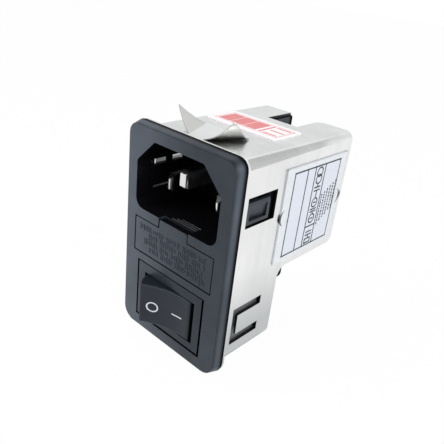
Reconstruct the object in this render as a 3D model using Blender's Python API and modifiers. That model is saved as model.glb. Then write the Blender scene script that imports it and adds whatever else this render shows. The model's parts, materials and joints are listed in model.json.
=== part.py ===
"""Snap-in IEC inlet line filter: inlet, fuse drawer and rocker switch in one bezel,
with a stepped metal can behind it.

Frame: +Z up, the front faces -Y, +X is to the right seen from the front.
The origin is about the middle of the bezel, in the plane that touches the panel,
which is the rear face of the can's flange.
"""

import math

import bmesh
import bpy
from mathutils import Euler, Matrix, Vector

# Clearances and shared small sizes
seat_gap = 0.0003
skin_gap = 0.00015
fit_gap = 0.0001
overrun = 0.001
root = 0.0012
smooth_angle = math.radians(35)
arc_steps = 5
round_segments = 24

# Bezel plate
bezel_thickness = 0.0025
bezel_draft = 0.00055
bezel_corner = 0.0024
bezel_foot_corner = 0.0033
bezel_edge = 0.0003

# Can: folded sheet with a flange behind the bezel
sheet = 0.0005
can_bend = 0.0021
step_gap = 0.00055
step_space = 0.0007
step_fillet = 0.0026
rear_corner = 0.0018
foot_gap = 0.00188
flange_side = 0.00155
flange_top = 0.00127
flange_foot = 0.00145
flange_margin = 0.00008

# Inlet
inlet_low = 0.00622
inlet_width = 0.0240
inlet_height = 0.01572
inlet_chamfer = 0.0051
inlet_corner = 0.0023
inlet_depth = 0.0167
shroud_wall = 0.0008
shroud_back = 0.0016
shroud_side_gap = 0.0005
shroud_top_gap = 0.00044

# Pins
pin_width = 0.0020
pin_height = 0.0040
pin_spacing = 0.0070
pin_drop = 0.0021
earth_rise = 0.0018
live_setback = 0.0047
earth_setback = 0.0017
pin_tip = 0.0010
pin_tip_width = 0.0012
pin_tip_height = 0.0029
pin_tail = 0.0030

# Snap latches in the side walls of the inlet shroud
window_front = 0.00265
window_length = 0.0092
window_rise = 0.00321
window_height = 0.00655
latch_slot_front = 0.0003
latch_slot_length = 0.0101
latch_slot_rise = 0.00308
latch_slot_height = 0.00665
latch_top_gap = 0.00135
latch_side_gap = 0.00045
hook_front = 0.0030
hook_length = 0.0072
hook_sink = 0.0003
hook_rim = 0.00085
hook_root = 0.0005
ramp_height = 0.0010
ramp_depth = 0.0006
pocket_deep = 0.0010
pocket_shallow = 0.0002
catch_front = 0.0051
catch_length = 0.0017
catch_sheet = 0.0004

# Grip tongues cut in the can beside the switch
grip_front = 0.0028
grip_length = 0.0093
grip_drop = 0.0054
grip_height = 0.0094
grip_slot = 0.0022
grip_front_slot = 0.0017

# Fuse drawer and its bay
drawer_inset = 0.00013
drawer_height = 0.00839
drawer_rise = -0.00022
drawer_face = 0.0015
drawer_line = 0.0003
drawer_tab_width = 0.0086
drawer_tab_gap = 0.00027
bay_inset = 0.0008
bay_top = 0.00388
bay_bottom = -0.00312
bay_wall = 0.0006
bay_roof = 0.0016
bay_end = 0.0008
bay_spare = 0.0032
tray_floor = 0.0007
tray_wall = 0.0009
tray_bar_height = 0.0040
tray_open = 0.0005

# Fuses
fuse_length = 0.0200
fuse_diameter = 0.0052
fuse_front = 0.0022
fuse_cap_length = 0.0052
fuse_cap_wall = 0.00018
fuse_glass_wall = 0.0005
fuse_wire = 0.0003
fuse_bed = 0.0002

# Fuse contact springs
contact_width = 0.0028
contact_sheet = 0.0003
contact_length = 0.0056
contact_bow = 0.0004
contact_groove = 0.0007
contact_front = 0.0008
contact_inset = 0.0016

# Switch
face_bar = 0.002105
switch_width = 0.0204
switch_height = 0.0146
switch_line = 0.00035
switch_face = 0.0013
switch_body_width = 0.0190
switch_body_height = 0.0128
switch_body_depth = 0.0145
switch_wall = 0.0010
switch_tube_wall = 0.0012
switch_tube_depth = 0.0125
tube_gap = 0.0007
rocker_hole_height = 0.0104
rocker_side_shift = -0.0001
rocker_drop = 0.0002
rocker_end_gap = 0.0002
rocker_side_gap = 0.00057
rocker_radius = 0.0072
rocker_pivot_depth = 0.0014
rocker_angle = math.radians(17.4)
rocker_face_rise = 0.00236
rocker_end_rise = 0.0035
rocker_skirt = 0.0022
rocker_wall = 0.0011
rocker_edge = 0.0004
axle_diameter = 0.0014
axle_length = 0.0008
post_diameter = 0.0032
post_bore = 0.0019
post_length = 0.0062
pole_spacing = 0.0030

# Plungers and contact blades
plunger_diameter = 0.0013
plunger_length = 0.0050
plunger_reach = 0.0082
plunger_clear = 0.00015
blade_half = 0.0064
blade_width = 0.0026
blade_sheet = 0.0004
blade_angle = math.radians(6)
rivet_diameter = 0.0012
rivet_height = 0.0004
terminal_sheet = 0.0006
terminal_width = 0.0030
terminal_end = 0.0187
anvil_place = 0.0057

# Rear cover
cover_gap = 0.0003
cover_wall = 0.0008
cover_back = 0.0015
cover_space = 0.0004
notch_width = 0.0085
notch_length = 0.0095
notch_corner = 0.0020
trough_wall = 0.0010
trough_depth = 0.0086
trough_reach = 0.0012
trough_corner = 0.0009
step_wall = 0.0009
rib_reach = 0.0029
rib_drop = 0.0035
rib_corner = 0.0008
peg_hole = 0.0038
peg_gap = 0.0003
peg_front_shift = 0.0002
peg_inset = 0.0023
peg_rise = 0.00848
peg_sink = 0.0001

# Rear tabs and circuit board
tab_width = 0.0063
tab_sheet = 0.0008
tab_reach = 0.0078
tab_tip = 0.0010
tab_hole = 0.0013
tab_spacing = 0.0060
tab_rise = 0.0101
earth_tab_rise = 0.0021
board_thickness = 0.0012
board_low = -0.0031
board_gap = 0.00058

# Choke
choke_gap = 0.00078
choke_foot = 0.00182
choke_space = 0.0014
core_inner = 0.0036
core_height = 0.0060
core_edge = 0.0005
winding_wire = 0.0007
winding_turns = 8
winding_arc = math.radians(132)

# Capacitors and resistor
box_capacitor_width = 0.0176
box_capacitor_height = 0.0072
box_capacitor_depth = 0.0052
box_capacitor_gap = 0.00098
box_capacitor_space = 0.0019
box_board_gap = 0.0014
disc_diameter = 0.0070
disc_thickness = 0.0032
disc_side_gap = 0.0014
disc_space = 0.0037
lead_diameter = 0.0006
lead_length = 0.0030
resistor_diameter = 0.0024
resistor_length = 0.0066
resistor_neck = 0.0018
resistor_rise = 0.0076
resistor_space = 0.0022

# Snap springs above and below the can
spring_sheet = 0.0003
spring_offset = -0.0011
spring_front = 0.0004
spring_tail = 0.0004
ear_front = 0.00235
ear_rear = 0.0110
ear_front_half = 0.0021
ear_rear_half = 0.00577
ear_foot_share = 0.425
ear_height = 0.00628
ear_angle = math.radians(134.2)

# Label and sticker
label_thickness = 0.00012
label_front = 0.0141
label_end = 0.0013
label_foot = 0.00175
label_top_gap = 0.0020
label_corner = 0.0006
sticker_side = 0.0004
sticker_width = 0.0198
sticker_front = 0.0155
sticker_length = 0.0101
sticker_corner = 0.0008

# Heights and widths that follow from the sizes above
can_width = inlet_width + 2 * (shroud_wall + shroud_side_gap + sheet)
inlet_high = inlet_low + inlet_height
inlet_rise = inlet_low + inlet_height / 2
can_top = inlet_high + shroud_wall + shroud_top_gap + sheet
half_can = can_width / 2
can_inner = half_can - sheet
bezel_width = can_width + 2 * flange_side
bay_width = inlet_width - 2 * bay_inset
drawer_width = inlet_width - 2 * drawer_inset
drawer_low = drawer_rise - drawer_height / 2
drawer_high = drawer_rise + drawer_height / 2
drawer_tab_top = inlet_low - drawer_tab_gap
switch_rise = drawer_low - face_bar - switch_height / 2
rocker_rise = switch_rise - rocker_drop
switch_tube_width = 2 * (can_inner - tube_gap)
switch_tube_height = switch_body_height + 2 * (seat_gap + bay_wall)
rocker_height = rocker_hole_height - 2 * rocker_end_gap
rocker_hole_width = 2 * (rocker_radius + rocker_side_gap)
can_bottom = switch_rise - switch_tube_height / 2 - foot_gap - sheet
bezel_high = can_top + flange_top
bezel_low = can_bottom - flange_foot
step_height = bay_bottom - bay_wall - step_gap - sheet
window_low = inlet_low + window_rise
latch_slot_low = inlet_low + latch_slot_rise
latch_slot_high = latch_slot_low + latch_slot_height
grip_low = switch_rise - grip_drop
cover_half = can_inner - cover_gap
cover_top = can_top - sheet - cover_gap
cover_bend = can_bend - sheet - cover_gap
trough_floor = can_top - trough_depth
tray_low = bay_bottom + seat_gap
fuse_centre = tray_low + tray_floor + fuse_bed + fuse_diameter / 2
pocket_half = (bay_width / 2 - seat_gap - tray_wall - tray_wall / 2) / 2
fuse_spacing = tray_wall / 2 + pocket_half
board_width = 2 * (cover_half - cover_wall - seat_gap)
board_height = trough_floor - trough_wall - board_gap - board_low
choke_high = cover_top - cover_wall - choke_gap
choke_low = bay_top + bay_roof + choke_foot
choke_rise = (choke_high + choke_low) / 2
core_outer = (choke_high - choke_low) / 2
box_capacitor_rise = trough_floor - trough_wall - box_capacitor_gap - box_capacitor_height / 2
disc_place = cover_half - cover_wall - disc_side_gap - disc_thickness / 2
disc_rise = cover_top - cover_wall - seat_gap - disc_diameter / 2
label_low = step_height + label_foot
label_height = can_top - can_bend - label_top_gap - label_low
sticker_left = sticker_side + can_bend - half_can

# Places along Y that follow, from the front to the rear
flange_front = -sheet
bezel_back = flange_front - seat_gap
bezel_front = bezel_back - bezel_thickness
inlet_floor = bezel_front + inlet_depth
shroud_end = inlet_floor + shroud_back
step_depth = bezel_front + terminal_end + step_space + step_wall + fit_gap
tray_rear = fuse_front + fuse_length - tray_open
bay_rear = fuse_front + fuse_length + bay_spare
contact_rear = fuse_front + fuse_length - contact_length - contact_inset
winding_reach = core_height / 2 + seat_gap + winding_wire
resistor_depth = shroud_end + resistor_space
choke_depth = shroud_end + pin_tail + choke_space + winding_reach
box_capacitor_front = choke_depth + winding_reach + box_capacitor_space
board_front = box_capacitor_front + box_capacitor_depth + box_board_gap
board_rear = board_front + board_thickness
cover_rear = board_rear + seat_gap + cover_back
cover_front = shroud_end + cover_space
can_depth = cover_rear + fit_gap
notch_front = can_depth - notch_length
peg_front = cover_front + peg_front_shift
peg_rear = can_depth - peg_inset
disc_depth = board_front - disc_space
label_length = can_depth - label_end - label_front
spring_rear = ear_rear + spring_tail
pivot_y = bezel_front + rocker_pivot_depth
blade_y = pivot_y + plunger_reach + plunger_clear + blade_sheet / 2
fork_y = blade_y + blade_sheet / 2 + skin_gap
anvil_y = (blade_y + anvil_place * math.sin(blade_angle) + blade_sheet / 2 + rivet_height
           + seat_gap)


def clear_scene():
    for obj in list(bpy.data.objects):
        bpy.data.objects.remove(obj, do_unlink=True)


def new_collection(name):
    collection = bpy.data.collections.new(name)
    bpy.context.scene.collection.children.link(collection)
    return collection


def material(name, colour, roughness, metallic):
    surface = bpy.data.materials.new(name)
    surface.use_nodes = True
    shader = surface.node_tree.nodes["Principled BSDF"]
    shader.inputs["Base Color"].default_value = (*colour, 1.0)
    shader.inputs["Roughness"].default_value = roughness
    shader.inputs["Metallic"].default_value = metallic
    surface.diffuse_color = (*colour, 1.0)
    surface.roughness = roughness
    surface.metallic = metallic
    return surface


def move_to(obj, collection):
    for old in list(obj.users_collection):
        old.objects.unlink(obj)
    collection.objects.link(obj)


def part(obj, name, surface):
    """Name a finished piece, give it its material and put it with the parts."""
    obj.name = name
    obj.data.name = name
    obj.data.materials.clear()
    obj.data.materials.append(surface)
    move_to(obj, parts)
    return obj


def tool(obj, name):
    """Put a guide or cutter out of the render, drawn as wire."""
    obj.name = name
    obj.hide_render = True
    obj.display_type = "WIRE"
    move_to(obj, cutters)
    return obj


def smooth(obj):
    obj.data.shade_smooth()
    obj.data.set_sharp_from_angle(angle=smooth_angle)
    return obj


def block(low, high):
    """A box between two opposite corners."""
    low, high = Vector(low), Vector(high)
    bpy.ops.mesh.primitive_cube_add(size=1.0, location=(low + high) / 2)
    obj = bpy.context.object
    obj.scale = high - low
    bpy.ops.object.transform_apply(location=True, rotation=False, scale=True)
    return obj


def rod(diameter, start, end, segments=round_segments):
    """A round bar between two points."""
    start, end = Vector(start), Vector(end)
    run = end - start
    bpy.ops.mesh.primitive_cylinder_add(
        vertices=segments, radius=diameter / 2, depth=run.length, location=(start + end) / 2)
    obj = bpy.context.object
    obj.rotation_euler = run.to_track_quat("Z", "Y").to_euler()
    bpy.ops.object.transform_apply(location=True, rotation=True, scale=False)
    return smooth(obj)


def rounded(corners, steps=arc_steps):
    """Points of a closed outline whose corners (a, b, radius) become arcs."""
    points = []
    for index, (a, b, radius) in enumerate(corners):
        here = Vector((a, b))
        if radius == 0:
            points.append(here)
            continue
        back = (Vector(corners[index - 1][:2]) - here).normalized()
        ahead = (Vector(corners[(index + 1) % len(corners)][:2]) - here).normalized()
        half = back.angle(ahead) / 2
        centre = here + (back + ahead).normalized() * (radius / math.sin(half))
        first = here + back * (radius / math.tan(half)) - centre
        last = here + ahead * (radius / math.tan(half)) - centre
        turn = math.atan2(first.cross(last), first.dot(last))
        for step in range(steps + 1):
            points.append(centre + Matrix.Rotation(turn * step / steps, 2) @ first)
    return points


def rectangle(left, low, right, high, radius=0):
    return [(left, low, radius), (right, low, radius), (right, high, radius), (left, high, radius)]


def bezel_outline(margin):
    """The bezel's outline, its lower corners rounder than the upper ones."""
    half, low, high = bezel_width / 2 - margin, bezel_low + margin, bezel_high - margin
    return rounded([
        (-half, low, bezel_foot_corner), (half, low, bezel_foot_corner),
        (half, high, bezel_corner), (-half, high, bezel_corner)])


facings = {
    "front": Euler((math.radians(90), 0, 0)),
    "side": Euler((math.radians(90), 0, math.radians(90))),
    "flat": Euler((0, 0, 0)),
}
normals = {"front": Vector((0, 1, 0)), "side": Vector((1, 0, 0)), "flat": Vector((0, 0, 1))}


def as_mesh(obj):
    """Turn a curve object into a closed mesh object in the same place."""
    depsgraph = bpy.context.evaluated_depsgraph_get()
    mesh = bpy.data.meshes.new_from_object(obj.evaluated_get(depsgraph))
    shape = bmesh.new()
    shape.from_mesh(mesh)
    bmesh.ops.remove_doubles(shape, verts=shape.verts, dist=fit_gap / 100)
    shape.to_mesh(mesh)
    shape.free()
    result = bpy.data.objects.new(obj.name, mesh)
    bpy.context.scene.collection.objects.link(result)
    result.matrix_world = obj.matrix_world.copy()
    bpy.data.objects.remove(obj, do_unlink=True)
    return result


def plate(points, near, far, facing):
    """A flat outline given thickness between two planes; it faces front, side or flat."""
    curve = bpy.data.curves.new("outline", "CURVE")
    curve.dimensions = "2D"
    curve.fill_mode = "BOTH"
    curve.extrude = (far - near) / 2
    spline = curve.splines.new("POLY")
    spline.points.add(len(points) - 1)
    for point, place in zip(spline.points, points):
        point.co = (place[0], place[1], 0, 1)
    spline.use_cyclic_u = True
    obj = bpy.data.objects.new("outline", curve)
    bpy.context.scene.collection.objects.link(obj)
    obj.rotation_euler = facings[facing]
    obj.location = normals[facing] * ((near + far) / 2)
    bpy.context.view_layer.update()
    return as_mesh(obj)


def wire(points, diameter, resolution=1):
    """A round wire along a list of points, with closed ends."""
    curve = bpy.data.curves.new("wire", "CURVE")
    curve.dimensions = "3D"
    curve.bevel_depth = diameter / 2
    curve.bevel_resolution = resolution
    curve.use_fill_caps = True
    spline = curve.splines.new("POLY")
    spline.points.add(len(points) - 1)
    for point, place in zip(spline.points, points):
        point.co = (*place, 1)
    obj = bpy.data.objects.new("wire", curve)
    bpy.context.scene.collection.objects.link(obj)
    bpy.context.view_layer.update()
    return smooth(as_mesh(obj))


def turned(profile, start, direction):
    """A turned piece: a closed profile of (radius, height) pairs, swept round its axis."""
    mesh = bpy.data.meshes.new("turned")
    mesh.from_pydata([(radius, 0, height) for radius, height in profile],
                     [(i, i + 1) for i in range(len(profile) - 1)], [])
    obj = bpy.data.objects.new("turned", mesh)
    bpy.context.scene.collection.objects.link(obj)
    obj.rotation_euler = Vector(direction).to_track_quat("Z", "Y").to_euler()
    obj.location = start
    screw = obj.modifiers.new("Turn", "SCREW")
    screw.steps = round_segments
    screw.render_steps = round_segments
    screw.use_merge_vertices = True
    screw.merge_threshold = fit_gap / 10
    return obj


def boolean(obj, operation, other, name):
    change = obj.modifiers.new(name, "BOOLEAN")
    change.operation = operation
    change.object = tool(other, f"{obj.name}_{name}")
    change.solver = "EXACT"
    return obj


def cut(obj, other, name):
    return boolean(obj, "DIFFERENCE", other, name)


def join(obj, other, name):
    return boolean(obj, "UNION", other, name)


def bevel(obj, width, segments=2):
    change = obj.modifiers.new("Edges", "BEVEL")
    change.width = width
    change.segments = segments
    change.limit_method = "ANGLE"
    change.angle_limit = math.radians(50)
    return obj


def inlet_outline(margin):
    """The appliance inlet's outline: two cut upper corners and two round lower ones."""
    half = inlet_width / 2 + margin
    top = inlet_high + margin
    low = inlet_low - margin
    slant = inlet_chamfer + margin * math.tan(math.radians(22.5))
    return rounded([
        (-half, low, inlet_corner + margin), (half, low, inlet_corner + margin),
        (half, top - slant, shroud_wall), (half - slant, top, shroud_wall),
        (-half + slant, top, shroud_wall), (-half, top - slant, shroud_wall)])


def bezel_plate():
    """The bezel's plate: its outline narrows a little towards the front."""
    half, tall = bezel_width / 2, (bezel_high - bezel_low) / 2
    centre = (bezel_high + bezel_low) / 2
    obj = plate(bezel_outline(0), bezel_front, bezel_back, "front")
    narrow = Vector(((half - bezel_draft) / half, (tall - bezel_draft) / tall))
    middle = (bezel_front + bezel_back) / 2
    bpy.context.view_layer.update()
    back_to_local = obj.matrix_world.inverted()
    for vertex in obj.data.vertices:
        place = obj.matrix_world @ vertex.co
        if place.y < middle:
            height = centre + (place.z - centre) * narrow.y
            vertex.co = back_to_local @ Vector((place.x * narrow.x, place.y, height))
    return bevel(obj, bezel_edge)


def side_latch(obj, side):
    """A tongue cut free in the shroud's side wall, with a ramped hook for the can's window."""
    name = "right" if side > 0 else "left"
    inner = inlet_width / 2
    outer = inner + shroud_wall
    rear = latch_slot_front + latch_slot_length
    hook_rear = hook_front + hook_length

    def span(low_x, low_y, low_z, high_x, high_y, high_z):
        xs = sorted((side * low_x, side * high_x))
        return block((xs[0], low_y, low_z), (xs[1], high_y, high_z))

    low = latch_slot_low + latch_side_gap
    high = latch_slot_high - latch_top_gap
    cut(obj, span(inner - overrun, latch_slot_front, latch_slot_low,
                  outer + overrun, rear, latch_slot_high), f"latch_slot_{name}")
    join(obj, span(inner + fit_gap, latch_slot_front + latch_side_gap, low,
                   outer - fit_gap, rear + root, high), f"latch_tongue_{name}")
    tip = half_can - hook_sink
    join(obj, span(outer - hook_root, hook_front, low + fit_gap,
                   tip, hook_rear, high - fit_gap), f"latch_hook_{name}")

    ramp = span(tip - ramp_depth, hook_front - overrun, high - ramp_height,
                tip + overrun, hook_rear + overrun, high + overrun)
    for vertex in ramp.data.vertices:
        if abs(vertex.co.x) < tip and vertex.co.z < high:
            vertex.co.x = side * (tip + fit_gap)
    cut(obj, ramp, f"latch_ramp_{name}")

    pocket = span(outer, hook_front + hook_rim, low + hook_rim,
                  tip + overrun, hook_rear - hook_rim, high - ramp_height)
    slope = (pocket_deep - pocket_shallow) / 2
    for vertex in pocket.data.vertices:
        if abs(vertex.co.x) < tip:
            ahead = 1 if vertex.co.y < (hook_front + hook_rear) / 2 else 0
            below = 1 if vertex.co.z < (low + high - ramp_height) / 2 else 0
            vertex.co.x = side * (tip - pocket_shallow - slope * (ahead + below))
    cut(obj, pocket, f"latch_pocket_{name}")
    join(obj, span(inner + fit_gap, catch_front, high - overrun,
                   inner + fit_gap + catch_sheet, catch_front + catch_length,
                   latch_slot_high + fit_gap), f"latch_catch_{name}")


def pin_places():
    """Name, x and z of each pin, with how far its tip lies behind the bezel's face."""
    return [
        ("line", -pin_spacing, inlet_rise - pin_drop, live_setback),
        ("neutral", pin_spacing, inlet_rise - pin_drop, live_setback),
        ("earth", 0, inlet_rise + earth_rise, earth_setback)]


def front_bezel(surface):
    """Bezel, inlet shroud, drawer bay and switch opening in one moulding."""
    obj = part(bezel_plate(), "front_bezel", surface)
    half_bay = bay_width / 2
    half_drawer = drawer_width / 2
    ledge = bezel_front + drawer_face + drawer_line
    start = bezel_back - root

    join(obj, plate(inlet_outline(shroud_wall), start, shroud_end, "front"), "shroud")
    join(obj, block((-half_bay - bay_wall, start, bay_bottom - bay_wall),
                    (half_bay + bay_wall, bay_rear + bay_end, bay_top + bay_roof)), "bay")
    tube_half = switch_tube_width / 2
    tube_tall = switch_tube_height / 2
    join(obj, block((-tube_half, start, switch_rise - tube_tall),
                    (tube_half, switch_tube_depth, switch_rise + tube_tall)), "switch_tube")

    cut(obj, plate(inlet_outline(0), bezel_front - overrun, inlet_floor, "front"), "cavity")
    tab_half = drawer_tab_width / 2 + drawer_line / 2
    cut(obj, block((-tab_half, bezel_front - overrun, drawer_high - overrun),
                   (tab_half, ledge, inlet_low + overrun)), "tab_slot")
    cut(obj, block((-half_drawer - drawer_line / 2, bezel_front - overrun,
                    drawer_low - drawer_line / 2),
                   (half_drawer + drawer_line / 2, ledge, drawer_high + drawer_line / 2)),
        "drawer_recess")
    cut(obj, block((-half_bay, bezel_front, bay_bottom), (half_bay, bay_rear, bay_top)),
        "bay_hollow")

    half_switch = switch_width / 2
    tall_switch = switch_height / 2
    switch_ledge = bezel_front + switch_face + seat_gap
    cut(obj, block((-half_switch - switch_line / 2, bezel_front - overrun,
                    switch_rise - tall_switch - switch_line / 2),
                   (half_switch + switch_line / 2, switch_ledge,
                    switch_rise + tall_switch + switch_line / 2)), "switch_recess")
    hole_half = switch_body_width / 2 + seat_gap
    hole_tall = switch_body_height / 2 + seat_gap
    cut(obj, block((-hole_half, bezel_front, switch_rise - hole_tall),
                   (hole_half, switch_tube_depth + overrun, switch_rise + hole_tall)),
        "switch_hole")
    cut(obj, block((-tube_half + switch_tube_wall, bezel_back, switch_rise - hole_tall),
                   (tube_half - switch_tube_wall, switch_tube_depth + overrun,
                    switch_rise + hole_tall)), "switch_tube_hollow")

    for name, x, z, setback in pin_places():
        half_w = pin_width / 2 + fit_gap
        half_h = pin_height / 2 + fit_gap
        cut(obj, block((x - half_w, inlet_floor - overrun, z - half_h),
                       (x + half_w, shroud_end + overrun, z + half_h)), f"pin_slot_{name}")
    for side in (-1, 1):
        side_latch(obj, side)
    for name, x, y in contact_places():
        half_w = contact_width / 2 + seat_gap
        cut(obj, block((x - half_w, y - seat_gap, bay_top - overrun),
                       (x + half_w, y + contact_length + seat_gap, bay_top + contact_groove)),
            f"groove_{name}")
    return obj


def pin(name, x, z, setback, surface):
    """A flat pin with a tapered tip, reaching through the shroud's rear wall."""
    tip = bezel_front + setback
    tail = shroud_end + pin_tail
    obj = block((x - pin_width / 2, tip, z - pin_height / 2),
                (x + pin_width / 2, tail, z + pin_height / 2))
    part(obj, f"pin_{name}", surface)
    shape = bmesh.new()
    shape.from_mesh(obj.data)
    cut_y = tip + pin_tip
    bmesh.ops.bisect_plane(shape, geom=shape.verts[:] + shape.edges[:] + shape.faces[:],
                           plane_co=(x, cut_y, z), plane_no=(0, 1, 0))
    for vertex in shape.verts:
        if vertex.co.y < cut_y - fit_gap:
            vertex.co.x = x + (vertex.co.x - x) * pin_tip_width / pin_width
            vertex.co.z = z + (vertex.co.z - z) * pin_tip_height / pin_height
    shape.to_mesh(obj.data)
    shape.free()
    return bevel(obj, fit_gap, 1)


def can_profile():
    """The can's side view: deep above, shallow below, with a filleted inner corner."""
    front = -overrun
    return rounded([
        (front, can_bottom - overrun, 0), (step_depth, can_bottom, rear_corner),
        (step_depth, step_height, step_fillet), (can_depth, step_height, rear_corner),
        (can_depth, can_top + overrun, 0), (front, can_top + overrun, 0)])


def filter_can(surface):
    """Folded sheet can: sleeve, flange, windows, grip tongues, notch and peg holes."""
    sleeve = plate(rounded(rectangle(-half_can, can_bottom, half_can, can_top, can_bend)),
                   flange_front, can_depth, "front")
    obj = part(sleeve, "filter_can", surface)
    profile = can_profile()
    boolean(obj, "INTERSECT", plate(profile, -half_can - overrun, half_can + overrun, "side"),
            "side_view")
    join(obj, plate(bezel_outline(flange_margin), flange_front, 0, "front"), "flange")
    inner = plate(rounded(rectangle(-can_inner, can_bottom + sheet, can_inner, can_top - sheet,
                                    can_bend - sheet)),
                  flange_front - overrun, can_depth + overrun, "front")
    cut(obj, inner, "inside")
    cut(obj, block((-half_can - overrun, window_front, window_low),
                   (half_can + overrun, window_front + window_length,
                    window_low + window_height)), "windows")
    grip_high = grip_low + grip_height
    grip_rear = grip_front + grip_length
    slots = {
        "grip_upper": (grip_front, grip_high - grip_slot, grip_rear, grip_high),
        "grip_lower": (grip_front, grip_low, grip_rear, grip_low + grip_slot),
        "grip_front": (grip_front, grip_low + grip_slot / 2, grip_front + grip_front_slot,
                       grip_high - grip_slot / 2)}
    for name, (y1, z1, y2, z2) in slots.items():
        cut(obj, block((-half_can - overrun, y1, z1), (half_can + overrun, y2, z2)), name)
    for name, y in (("front", peg_front), ("rear", peg_rear)):
        cut(obj, rod(peg_hole, (-half_can - overrun, y, peg_rise),
                     (half_can + overrun, y, peg_rise)), f"peg_holes_{name}")
    wide = notch_width / 2
    notch = rounded([
        (-wide, notch_front, 0), (wide, notch_front, 0),
        (wide, can_depth, notch_corner), (wide * 2, can_depth, 0),
        (wide * 2, can_depth + overrun, 0), (-wide * 2, can_depth + overrun, 0),
        (-wide * 2, can_depth, 0), (-wide, can_depth, fit_gap)])
    cut(obj, plate(notch, can_top - can_bend, can_top + overrun, "flat"), "notch")
    return obj


def snap_spring(name, side, surface):
    """A thin leaf on the can with two triangular ears folded up along slanted lines."""
    level = can_top + skin_gap if side > 0 else can_bottom - skin_gap
    outline = {
        "front_left": (-ear_front_half, spring_front),
        "front_right": (ear_front_half, spring_front),
        "fold_right": (ear_front_half, ear_front), "rear_right": (ear_rear_half, ear_rear),
        "end_right": (ear_rear_half, spring_rear), "end_left": (-ear_rear_half, spring_rear),
        "rear_left": (-ear_rear_half, ear_rear), "fold_left": (-ear_front_half, ear_front)}
    shape = bmesh.new()
    corners = {key: shape.verts.new((spring_offset + a, b, level))
               for key, (a, b) in outline.items()}
    shape.faces.new([corners[key] for key in outline])
    for hand in ("right", "left"):
        start, end = corners[f"fold_{hand}"], corners[f"rear_{hand}"]
        fold = end.co - start.co
        across = Vector((fold.y, -fold.x, 0)).normalized()
        if hand == "left":
            across = -across
        foot = start.co + fold * ear_foot_share
        lean = math.cos(math.pi - ear_angle) * ear_height
        lift = math.sin(math.pi - ear_angle) * ear_height
        tip = shape.verts.new(foot + across * lean + Vector((0, 0, side * lift)))
        shape.faces.new([start, tip, end] if hand == "right" else [end, tip, start])
    bmesh.ops.recalc_face_normals(shape, faces=shape.faces)
    mesh = bpy.data.meshes.new(name)
    shape.to_mesh(mesh)
    shape.free()
    obj = bpy.data.objects.new(name, mesh)
    bpy.context.scene.collection.objects.link(obj)
    part(obj, name, surface)
    thick = obj.modifiers.new("Sheet", "SOLIDIFY")
    thick.thickness = spring_sheet
    thick.offset = 1 if mesh.polygons[0].normal.z * side > 0 else -1
    thick.use_even_offset = True
    return obj


def rear_cover(surface):
    """Black moulding that closes the can behind and below, with a trough at the top."""
    step_low = step_height + fit_gap
    body = plate(rounded([
        (-cover_half, step_low, 0), (cover_half, step_low, 0),
        (cover_half, cover_top, cover_bend), (-cover_half, cover_top, cover_bend)]),
        cover_front, cover_rear, "front")
    obj = part(body, "rear_cover", surface)
    boolean(obj, "INTERSECT", plate(can_profile(), -can_inner, can_inner, "side"), "side_view")
    wide = notch_width / 2 + fit_gap
    inside = (cover_half - cover_wall, cover_rear - cover_back, cover_top - cover_wall)
    cut(obj, block((-inside[0], cover_front - overrun, step_low + cover_wall),
                   (inside[0], inside[1], inside[2])), "inside")
    trough_top = can_top - sheet - skin_gap
    trough_rear = cover_rear + trough_reach
    trough = rounded([
        (notch_front - trough_wall, trough_floor - trough_wall, 0),
        (trough_rear, trough_floor - trough_wall, 0),
        (trough_rear, trough_top, trough_corner), (notch_front - trough_wall, trough_top, 0)])
    join(obj, plate(trough, -wide - trough_wall, wide + trough_wall, "side"), "trough")
    cut(obj, block((-wide, notch_front + fit_gap, trough_floor),
                   (wide, trough_rear + overrun, trough_top + overrun)), "trough_hollow")
    wall_low = can_bottom + sheet + cover_gap
    join(obj, plate(rounded([
        (-cover_half, wall_low, cover_bend), (cover_half, wall_low, cover_bend),
        (cover_half, step_low + cover_wall / 2, 0), (-cover_half, step_low + cover_wall / 2, 0)]),
        step_depth - fit_gap - step_wall, step_depth - fit_gap, "front"), "step_wall")
    rib = rounded([
        (step_depth - step_wall, step_low - rib_drop, 0),
        (step_depth + rib_reach, step_low - rib_drop, rib_corner),
        (step_depth + rib_reach, step_low + cover_wall / 2, 0),
        (step_depth - step_wall, step_low + cover_wall / 2, 0)])
    join(obj, plate(rib, -cover_half + fit_gap, cover_half - fit_gap, "side"), "corner_rib")
    for name, y in (("front", peg_front), ("rear", peg_rear)):
        reach = half_can - peg_sink
        for side in (-1, 1):
            hand = "right" if side > 0 else "left"
            join(obj, rod(peg_hole - 2 * peg_gap, (side * (cover_half - fit_gap / 2), y, peg_rise),
                          (side * reach, y, peg_rise)), f"peg_{name}_{hand}")
    tab_slots(obj, inside[1], cover_rear)
    return obj


def tab_places():
    return [("line", -tab_spacing, tab_rise), ("neutral", tab_spacing, tab_rise),
            ("earth", 0, earth_tab_rise)]


def tab_slots(obj, front, rear):
    """Cut the three slots that the upright tabs pass through."""
    half_w, half_t = tab_width / 2 + seat_gap, tab_sheet / 2 + seat_gap
    for name, x, z in tab_places():
        cut(obj, block((x - half_t, front - overrun, z - half_w),
                       (x + half_t, rear + overrun, z + half_w)), f"tab_slot_{name}")


def rear_tab(name, x, z, surface):
    """A flat upright push-on tab with a tapered end and a round dimple hole."""
    start = board_front - seat_gap
    end = cover_rear + tab_reach
    low, high = z - tab_width / 2, z + tab_width / 2
    outline = [(start, low), (end - tab_tip, low), (end, low + tab_tip),
               (end, high - tab_tip), (end - tab_tip, high), (start, high)]
    obj = part(plate(outline, x - tab_sheet / 2, x + tab_sheet / 2, "side"),
               f"rear_tab_{name}", surface)
    middle = end - tab_width / 2
    cut(obj, rod(tab_hole, (x - tab_sheet, middle, z), (x + tab_sheet, middle, z)), "hole")
    return obj


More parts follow.
